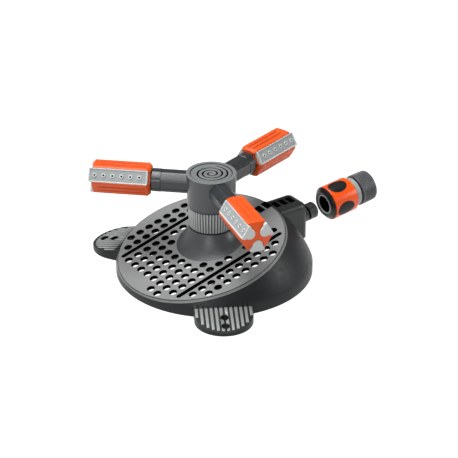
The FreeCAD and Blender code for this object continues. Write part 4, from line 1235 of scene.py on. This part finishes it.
@dataclass
class NozzleHead:
    """Six-sided head with three ridged faces and three strips of jets."""

    index: int
    start: float = 57.0
    end: float = 115.0
    apothem: float = 14.2
    near_bevel: float = 3.4
    far_fall: float = 2.8
    far_r: float = 6.0
    floor: float = 10.2
    bore_r: float = 8.1
    bore_depths: Point2 = (13.0, 0.4)
    face_steps: int = 60
    fall: float = 0.75          # how far a face falls off at its long edges
    fall_w: float = 1.6
    groove_at: float = 2.75     # middle of the two grooves between the ridges
    groove_w: float = 1.9
    groove: float = 1.2
    groove_lip: float = 0.2         # the groove's walls lean out to here
    groove_wall: float = 0.55       # width of a leaning wall
    ridge_span: Point2 = (60.5, 108.5)
    ridge_fade: float = 3.0
    strip_start: float = 59.0
    strip_end: float = 116.0
    strip_half: float = 6.9
    rim: float = 1.25
    inset: float = 0.7
    petal_start: float = 104.0
    petal_x: float = 8.4
    petal_r: float = 5.0
    shoulder: float = 11.6
    petal_edge: float = 0.9
    petal_arc: Point2 = (175.0, 365.0)      # degrees
    petal_steps: int = 16
    channel_in: float = 0.3         # channel floor, in from the rim
    channel_lift: float = 0.06
    first_jet: float = 67.0
    jet_pitch: float = 8.6
    jets: int = 6
    jet_r: float = 2.1
    jet_bore: float = 0.95
    sides: Sequence[float] = (30.0, 150.0, 270.0)
    faces: Sequence[float] = (90.0, 210.0, 330.0)

    @property
    def corner(self) -> float:
        """Radius of the head's corners."""
        return self.apothem / math.cos(math.pi / 6)

    def limit(self, station: float) -> float:
        """Largest radius at a station, which gives both ends their bevels."""
        near = self.corner - self.near_bevel + (station - self.start)
        slope = (self.corner - self.far_r) / self.far_fall
        far = self.corner - (station - (self.end - self.far_fall)) * slope
        return max(0.5, min(self.corner, near, far))

    def clamp(self, y: float, z: float, most: float) -> Point2:
        """Pull a point in to the largest radius."""
        size = math.hypot(y, z)
        share = min(1.0, most / size) if size > 0 else 1.0
        return (y * share, z * share)

    def on_face(self, turn: float, across: float, out: float) -> Point2:
        """Point of the cross-section, from its place on a face.

        Args:
            turn: Direction of the face in degrees.
            across: Distance from the face's middle line.
            out: Distance from the axis, square to the face.

        Returns:
            Its two coordinates across the arm.
        """
        angle = math.radians(turn)
        return (out * math.cos(angle) - across * math.sin(angle),
                out * math.sin(angle) + across * math.cos(angle))

    def fade(self, station: float) -> float:
        """How deep the grooves are at a station, from 0 to 1."""
        low = (station - self.ridge_span[0]) / self.ridge_fade
        high = (self.ridge_span[1] - station) / self.ridge_fade
        share = max(0.0, min(1.0, low, high))
        return math.sin(share * math.pi / 2)

    def section(self, station: float) -> list[Point2]:
        """Outline of the head's body at a station."""
        half = self.apothem * math.tan(math.pi / 6)
        depth = self.groove * self.fade(station)
        edge = self.strip_half + 0.05
        seat = [(half - 0.9, self.apothem - 0.1), (edge + 0.25, self.apothem),
                (edge, self.apothem - 0.25), (edge, self.floor)]
        seat = [(-across, out) for across, out in seat] + seat[::-1]
        result = []
        for turn in self.faces:
            for step in range(self.face_steps + 1):
                across = -half + 2 * half * step / self.face_steps
                aside = abs(abs(across) - self.groove_at)
                inside = self.groove_w / 2 + self.groove_lip - aside
                wave = max(0.0, min(1.0, inside / self.groove_wall))
                out = self.apothem - depth * math.sin(wave * math.pi / 2) ** 2
                slack = half - abs(across)
                out -= self.fall * max(0.0, 1.0 - slack / self.fall_w) ** 2
                result.append(self.on_face(turn, across, out))
            result += [self.on_face(turn + 60.0, across, out) for across, out in seat]
        most = self.limit(station)
        return [self.clamp(y, z, most) for y, z in result]

    def stations(self) -> list[float]:
        """Stations of the body's sections, close together where it bends."""
        near = [self.start + step * 0.5 for step in range(9)]
        low = [self.ridge_span[0] + self.ridge_fade * step / 5 for step in range(6)]
        high = [self.ridge_span[1] - self.ridge_fade * step / 5 for step in range(6)]
        far_start = self.end - self.far_fall
        far = [far_start + self.far_fall * step / 6 for step in range(7)]
        return sorted({round(at, 3) for at in near + low + high + far + [70.0, 85.0, 100.0]})

    def body(self) -> bpy.types.Object:
        """Ridged body, open for the arm's spigot at its near end."""
        outlines = [(at, self.section(at)) for at in self.stations()]
        mouth = [self.clamp(y, z, self.bore_r) for y, z in outlines[0][1]]
        rings = [ring_at(self.start + depth, mouth) for depth in self.bore_depths]
        rings.append(ring_at(self.start, [(y * 1.04, z * 1.04) for y, z in mouth]))
        rings += [ring_at(at, outline) for at, outline in outlines]
        return skin(f"nozzle_body_{self.index}", rings, 34.0)

    def strip_section(self, station: float, inset: float, shrink: float) -> list[Point2]:
        """Outline of a strip in (across, out), the channel on top.

        Args:
            station: Place along the arm, which decides bar or petal.
            inset: Depth of the channel.
            shrink: How far the outline is drawn in, for rounded ends.

        Returns:
            The outline, with the same number of points at every station.
        """
        half, top, rim = self.strip_half, self.apothem, self.rim
        crown = [(half, top - 0.45), (half - 0.12, top - 0.12), (half - 0.45, top),
                 (half - rim + 0.3, top), (half - rim, top - min(inset, 0.25)),
                 (half - rim - 0.2, top - inset)]
        upper = crown + [(-y, z) for y, z in reversed(crown)]
        if station < self.petal_start:
            steps = self.petal_steps + 2
            lower = [(-half + 2 * half * step / steps, self.floor) for step in range(steps)]
            lower.append((half, self.floor))
            foot = self.floor
        else:
            first, last = [math.radians(turn) for turn in self.petal_arc]
            arc = [first + (last - first) * step / self.petal_steps
                   for step in range(self.petal_steps + 1)]
            lower = [(-half, self.shoulder)] + [
                (self.petal_r * math.cos(a), self.petal_x + self.petal_r * math.sin(a))
                for a in arc] + [(half, self.shoulder)]
            foot = self.petal_x
        middle = (foot + top) / 2
        result = []
        for y, z in upper + lower:
            share = shrink / max(1.0, math.hypot(y, z - middle))
            result.append((y - y * share, z + (middle - z) * share))
        return result

    def strip(self, turn: float) -> bpy.types.Object:
        """Strip with a raised rim and a petal-shaped far end."""
        first, last, deep = self.strip_start, self.strip_end, self.inset
        edge, wall = self.petal_edge, self.rim
        plan = [(first, 0.0, 0.55), (first + 0.2, 0.0, 0.12), (first + 0.5, 0.0, 0.0),
                (first + wall, 0.0, 0.0), (first + wall + 0.35, deep, 0.0),
                (first + 3.0, deep, 0.0), (self.petal_start - 0.1, deep, 0.0),
                (self.petal_start, deep, 0.0), (last - wall - 0.35, deep, 0.0),
                (last - wall, 0.0, 0.0), (last - edge, 0.0, 0.0),
                (last - edge * 0.4, 0.0, edge * 0.2), (last - edge * 0.1, 0.0, edge * 0.55),
                (last, 0.0, edge)]
        rings = [self.on_head(turn, station, self.strip_section(station, inset, shrink), 0.15)
                 for station, inset, shrink in plan]
        return skin(f"strip_{turn:.0f}", rings, 32.0)

    def on_head(self, turn: float, station: float, outline: Sequence[Point2],
                room: float) -> Ring:
        """Ring laid on a strip's face, held inside the head's near bevel.

        Args:
            turn: Direction of the face in degrees.
            station: Place along the arm.
            outline: Points as (across, out).
            room: How far they stay below the bevel.

        Returns:
            The ring, in metres.
        """
        most = self.corner - self.near_bevel + (station - self.start) - room
        return ring_at(station, [self.clamp(*self.on_face(turn, across, out), most)
                                 for across, out in outline])

    def channel(self, turn: float) -> bpy.types.Object:
        """Floor of a strip's channel, darker as painted shade."""
        half = self.strip_half - self.rim - self.channel_in
        top = self.apothem - self.inset + self.channel_lift
        first, last = self.strip_start + self.rim, self.strip_end - self.rim
        rings = []
        for station, inset in ((first + 0.5, 0.3), (first + 0.9, 0.0), (last - 0.9, 0.0),
                               (last - 0.5, 0.3)):
            corners = [(-half + inset, top - SUNK), (half - inset, top - SUNK),
                       (half - inset, top), (-half + inset, top)]
            rings.append(self.on_head(turn, station, corners, 0.1))
        return skin(f"channel_{turn:.0f}", rings)

    def boss(self) -> bpy.types.Object:
        """Round jet boss with its bore, standing on the first jet's place."""
        top = self.apothem + 0.05
        bottom = self.apothem - self.inset - 0.4
        section = rounded([(bottom, self.jet_bore), (top - 0.15, self.jet_bore),
                           (top, self.jet_bore + 0.2), (top, self.jet_r), (bottom, self.jet_r)],
                          [0, 0.1, 0.15, 0.3, 0], 2)
        return placed(turned("boss_source", section, 24), self.first_place())

    def first_place(self) -> Matrix:
        """Frame of the first jet, with +X out of the strip's face."""
        return (Matrix.Translation((self.first_jet * MM, 0, 0))
                @ (Matrix.Rotation(math.radians(self.sides[0]), 4, "X")
                   @ Matrix.Rotation(math.radians(90), 4, "Z")))

    def bore(self) -> bpy.types.Object:
        """Dark bottom of a jet's bore, painted shade."""
        floor, outer = self.apothem - self.inset + 0.12, self.jet_bore + 0.1
        section = [(floor - SUNK, 0.0), (floor, 0.0), (floor, outer), (floor - SUNK, outer)]
        return placed(turned("bore_source", section, 20), self.first_place())

    def build(self) -> None:
        """Build and dress the head, its strips and its jets."""
        row = joint(f"nozzle_{self.index}_turn")
        local = axis_matrix((0.0, 0.0, row["pos_m"][2]), row["axis"])
        body = f"nozzle_{self.index}"
        settle(placed(self.body(), local), ORANGE, body,
               [f"nozzle_head_{self.index}"])
        for number, turn in enumerate(self.sides, 1):
            strip = placed(self.strip(turn), local)
            strip.name = f"jet_strip_{self.index}_{number}"
            settle(strip, SOFT_GREY, body,
                   [f"nozzle_strip_{self.index}_{number}"])
        floors = joined(f"jet_channels_{self.index}",
                        [self.channel(turn) for turn in self.sides])
        settle(placed(floors, local), CHANNEL_SHADE, body)
        for name, source, finish in (("jet_bosses", self.boss(), SOFT_GREY),
                                     ("jet_bores", self.bore(), SHADOW)):
            jets = grown(f"{name}_{self.index}", round_array, finish, {"Piece": source},
                         Around=len(self.sides), Rows=self.jets, Pitch=self.jet_pitch * MM)
            settle(placed(jets, local), finish, body)


# ---- hose connector ---------------------------------------------------------
@dataclass
class HoseConnector:
    """Quick connector: socket, bezel, release sleeve with grips, and union nut."""

    tail: float = 56.0          # the hose end behind the connector's front
    bezel_r: Point2 = (10.6, 13.0)
    bezel_t: float = 3.4        # the chamfer ends here, flush with the sleeve
    sleeve_r: float = 17.4
    sleeve_in: float = 14.5
    sleeve_end: float = 31.5
    sleeve_edge: float = 1.2
    socket_r: float = 8.88
    socket_l: float = 18.6
    gap: Point2 = (37.7, 39.1)      # painted shade in the gap between the core's collar and the nut
    gap_r: float = 13.6
    pad_at: float = 15.4
    pad_size: Point2 = (22.0, 17.6)
    pad_lift: float = 0.3
    pad_spokes: int = 64
    # How far the pad has dropped at shares of its size.
    pad_dome: Sequence[Point2] = ((0.25, 0.0), (0.5, 0.02), (0.7, 0.05), (0.85, 0.1),
                                  (0.94, 0.22), (0.985, 0.5), (1.0, 0.6))
    pad_turns: Sequence[float] = (12.0, 102.0, 192.0, 282.0)
    dot_step: float = 1.15
    dot_r: float = 0.34
    dot_h: float = 0.22
    nut_at: float = 39.2
    nut_end: float = 56.2
    nut_r: Point2 = (15.75, 15.45)
    nut_bore: float = 8.9
    band: float = 2.2
    knurl_h: float = 0.5
    knurls: int = 46
    knurl_step: float = 1.15
    knurl_fill: float = 0.96
    inner: Sequence[str] = ("hose_barb", "connector_claws")

    def local(self) -> Matrix:
        """Frame at the connector's front, with +X along its axis."""
        row = joint("connector_slide")
        mount = next(m for m in frame["record"]["mounts"] if m["name"] == "hose_tail")
        axis = Vector(row["axis"]).normalized()
        return axis_matrix(Vector(mount["pos_m"]) - axis * self.tail * MM, axis)

    def bezel(self) -> bpy.types.Object:
        """Ring with a wide chamfer round the socket."""
        low, high = self.bezel_r
        section = rounded([(0.0, low), (self.bezel_t, low), (self.bezel_t, self.sleeve_r - 0.2),
                           (0.0, high)], [0.4, 0, 0.25, 0.5])
        return turned("chamfered_bezel", section)

    def sleeve(self) -> bpy.types.Object:
        """Outer shell of the release sleeve, behind the bezel."""
        first, last, edge = self.bezel_t + 0.1, self.sleeve_end, self.sleeve_edge
        section = rounded([(first, self.sleeve_in), (first, self.sleeve_r - 0.15),
                           (first + 0.6, self.sleeve_r), (last - edge, self.sleeve_r),
                           (last, self.sleeve_r - edge), (last, self.sleeve_in)],
                          [0, 0.2, 0.2, 0.9, 0.5, 0.3])
        return turned("release_sleeve_shell", section, 128)

    def shades(self) -> bpy.types.Object:
        """Painted shade: dark lining of the socket and of the gap before the nut."""
        lining = band("lining", (1.4, self.socket_l), (self.socket_r - 0.12, self.socket_r))
        ring = band("ring", self.gap, (self.gap_r - 1.0, self.gap_r))
        return joined("connector_shades", [lining, ring])

    def pad(self) -> bpy.types.Object:
        """Oval grip wrapped on the sleeve, thickest in its middle."""
        half_x, half_y = [size / 2 * 0.985 for size in self.pad_size]
        rings = []
        for share, drop in self.pad_dome:
            out = self.sleeve_r + self.pad_lift - drop
            ring = []
            for spoke in range(self.pad_spokes):
                turn = 2 * math.pi * spoke / self.pad_spokes
                angle = half_y * share * math.sin(turn) / self.sleeve_r
                ring.append(Vector((half_x * share * math.cos(turn), out * math.sin(angle),
                                    out * math.cos(angle))) * MM)
            rings.append(ring)
        return skin("pad_source", rings, 60.0)

    def dot(self) -> bpy.types.Object:
        """Small pyramid of the grip's texture."""
        build = bmesh.new()
        bmesh.ops.create_cone(build, cap_ends=True, segments=6, radius1=self.dot_r * MM,
                              radius2=self.dot_r * 0.55 * MM, depth=self.dot_h * MM)
        return mesh_of("dot_source", build, 20.0)

    def knurl(self) -> bpy.types.Object:
        """Diamond of the nut's knurl, standing at its place on the nut."""
        base = self.nut_r[0] - self.knurl_h
        half_y = math.pi * base / self.knurls * self.knurl_fill
        half_x = self.knurl_step * self.knurl_fill
        at = self.nut_at + self.band + self.knurl_step * 0.6
        corners = [(half_x, 0), (0, half_y), (-half_x, 0), (0, -half_y)]
        rings = [[Vector((at + x * share, y * share, base + rise)) * MM for x, y in corners]
                 for share, rise in ((1.0, -0.1), (0.3, self.knurl_h))]
        return skin("knurl_source", rings, 20.0)

    def nut(self) -> bpy.types.Object:
        """Body of the union nut, with plain bands at both ends."""
        front, back = self.nut_r
        first, last = self.nut_at, self.nut_end
        inner = self.nut_bore
        section = rounded([
            (first, inner + 2.0), (first, front), (first + self.band, front),
            (first + self.band + 0.2, front - self.knurl_h),
            (last - self.band - 0.2, back - self.knurl_h), (last - self.band, back),
            (last, back - 0.35), (last, inner), (last - 5.0, inner),
            (last - 8.0, inner + 2.0)], [0.2, 0.5, 0.15, 0, 0, 0.15, 0.6, 0.5, 0, 0])
        return turned("union_nut_body", section)

    def build(self) -> None:
        """Build and dress the connector."""
        local = self.local()
        settle(placed(self.bezel(), local), BLACK, "sleeve",
               ["connector_bezel"])
        settle(placed(self.sleeve(), local), BRIGHT_ORANGE, "sleeve",
               ["release_sleeve"])
        settle(placed(self.shades(), local), SHADOW, "connector")
        for number, turn in enumerate(self.pad_turns, 1):
            place = (local @ Matrix.Rotation(math.radians(turn), 4, "X")
                     @ Matrix.Translation((self.pad_at * MM, 0, 0)))
            pad = placed(self.pad(), place)
            pad.name = f"oval_grip_{number}"
            settle(pad, GRIP, "sleeve", [f"grip_pad_{number}"])
            dots = grown(f"grip_texture_{number}", oval_field, GRIP, {"Piece": self.dot()},
                         Length=(self.pad_size[0] - 2.4) * MM,
                         Width=(self.pad_size[1] - 2.4) * MM,
                         Columns=int(self.pad_size[0] / self.dot_step),
                         Rows=int(self.pad_size[1] / self.dot_step),
                         Radius=(self.sleeve_r - 0.02) * MM)
            settle(placed(dots, place), GRIP, "sleeve")
        show_copy("socket_core", "connector_core", SOCKET_GREY, "connector")
        keep("connector_seal", SEAL)
        for node in self.inner:
            keep(node, NATURAL)
        settle(placed(self.nut(), local), NUT, "union_nut", ["hose_nut"])
        rows = int((self.nut_end - self.nut_at - 2 * self.band) / self.knurl_step)
        shrink = (self.nut_r[1] / self.nut_r[0] - 1) / (rows + 4)
        knurls = grown("union_nut_knurl", round_array, NUT, {"Piece": self.knurl()},
                       Around=self.knurls, Rows=rows, Pitch=self.knurl_step * MM,
                       Stagger=0.5, Grow=shrink)
        settle(placed(knurls, local), NUT, "union_nut")


# ---- studio -----------------------------------------------------------------
@dataclass
class Lamp:
    """Soft round lamp."""

    name: str
    place: tuple[float, float, float]
    size: float
    watts: float
    aim: tuple[float, float, float] = (10.0, 0.0, 50.0)

    def build(self) -> None:
        """Hang the lamp and aim it."""
        data = bpy.data.lights.new(self.name, "AREA")
        data.shape = "DISK"
        data.size = self.size * MM
        data.energy = self.watts
        aimed(make_object(self.name, data), self.place, self.aim)


@dataclass
class Studio:
    """Pale floor, soft lamps and the camera."""

    eye: tuple[float, float, float] = (-984.5, -1417.9, 971.6)
    target: tuple[float, float, float] = (23.45, 4.08, 34.31)
    lens: float = 160.8
    sensor: float = 36.0
    clip: Point2 = (0.05, 50.0)     # m
    floor_half: float = 6000.0
    floor_drop: float = 0.2         # below the ground, so the two never meet
    floor_glow: float = 1.0
    sky: float = 0.18
    lamps: list[Lamp] = field(default_factory=lambda: [
        Lamp("key_lamp", (-450.0, 350.0, 1600.0), 1600.0, 66.0),
        Lamp("front_lamp", (-1300.0, -1100.0, 600.0), 700.0, 10.0),
        Lamp("right_lamp", (1200.0, -900.0, 600.0), 500.0, 9.0),
    ])

    def camera(self) -> None:
        """Set the camera at its solved place."""
        data = bpy.data.cameras.new("camera")
        data.lens = self.lens
        data.sensor_width = self.sensor
        data.clip_start, data.clip_end = self.clip
        camera = make_object("camera", data)
        aimed(camera, self.eye, self.target)
        bpy.context.scene.camera = camera

    def floor(self) -> None:
        """Pale floor that glows a little, like a lit sweep."""
        build = bmesh.new()
        half = self.floor_half * MM
        build.faces.new([build.verts.new((x * half, y * half, -self.floor_drop * MM))
                         for x, y in ((-1, -1), (1, -1), (1, 1), (-1, 1))])
        floor = raw_object("floor", build)
        paint = bpy.data.materials.new("white_studio_sweep")
        paint.use_nodes = True
        shader = paint.node_tree.nodes["Principled BSDF"]
        for socket, value in {"Base Color": linear("#6A6A6A"), "Roughness": 0.9,
                              "Specular IOR Level": 0.1,
                              "Emission Color": linear("#FFFFFF"),
                              "Emission Strength": self.floor_glow}.items():
            shader.inputs[socket].default_value = value
        floor.data.materials.append(paint)

    def build(self) -> None:
        """Set up the whole studio."""
        self.camera()
        self.floor()
        for lamp in self.lamps:
            lamp.build()
        world = bpy.data.worlds.new("soft_sky")
        world.use_nodes = True
        sky = world.node_tree.nodes["Background"]
        sky.inputs["Color"].default_value = linear("#FFFFFF")
        sky.inputs["Strength"].default_value = self.sky
        bpy.context.scene.world = world
        bpy.context.scene.view_settings.view_transform = "Standard"
        bpy.context.scene.view_settings.look = "None"


def main() -> None:
    """Build every sub-assembly in order."""
    logging.basicConfig(level=logging.INFO, format="%(name)s: %(message)s")
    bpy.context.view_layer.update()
    Studio().build()
    BaseShell().build()
    PegEar("left", 120.0).build()
    PegEar("front", -120.0).build()
    WaterColumn().build()
    FlowCollar().build()
    Rotor().build()
    for index in (1, 2, 3):
        NozzleHead(index).build()
    HoseConnector().build()


if __name__ == "__main__":
    main()
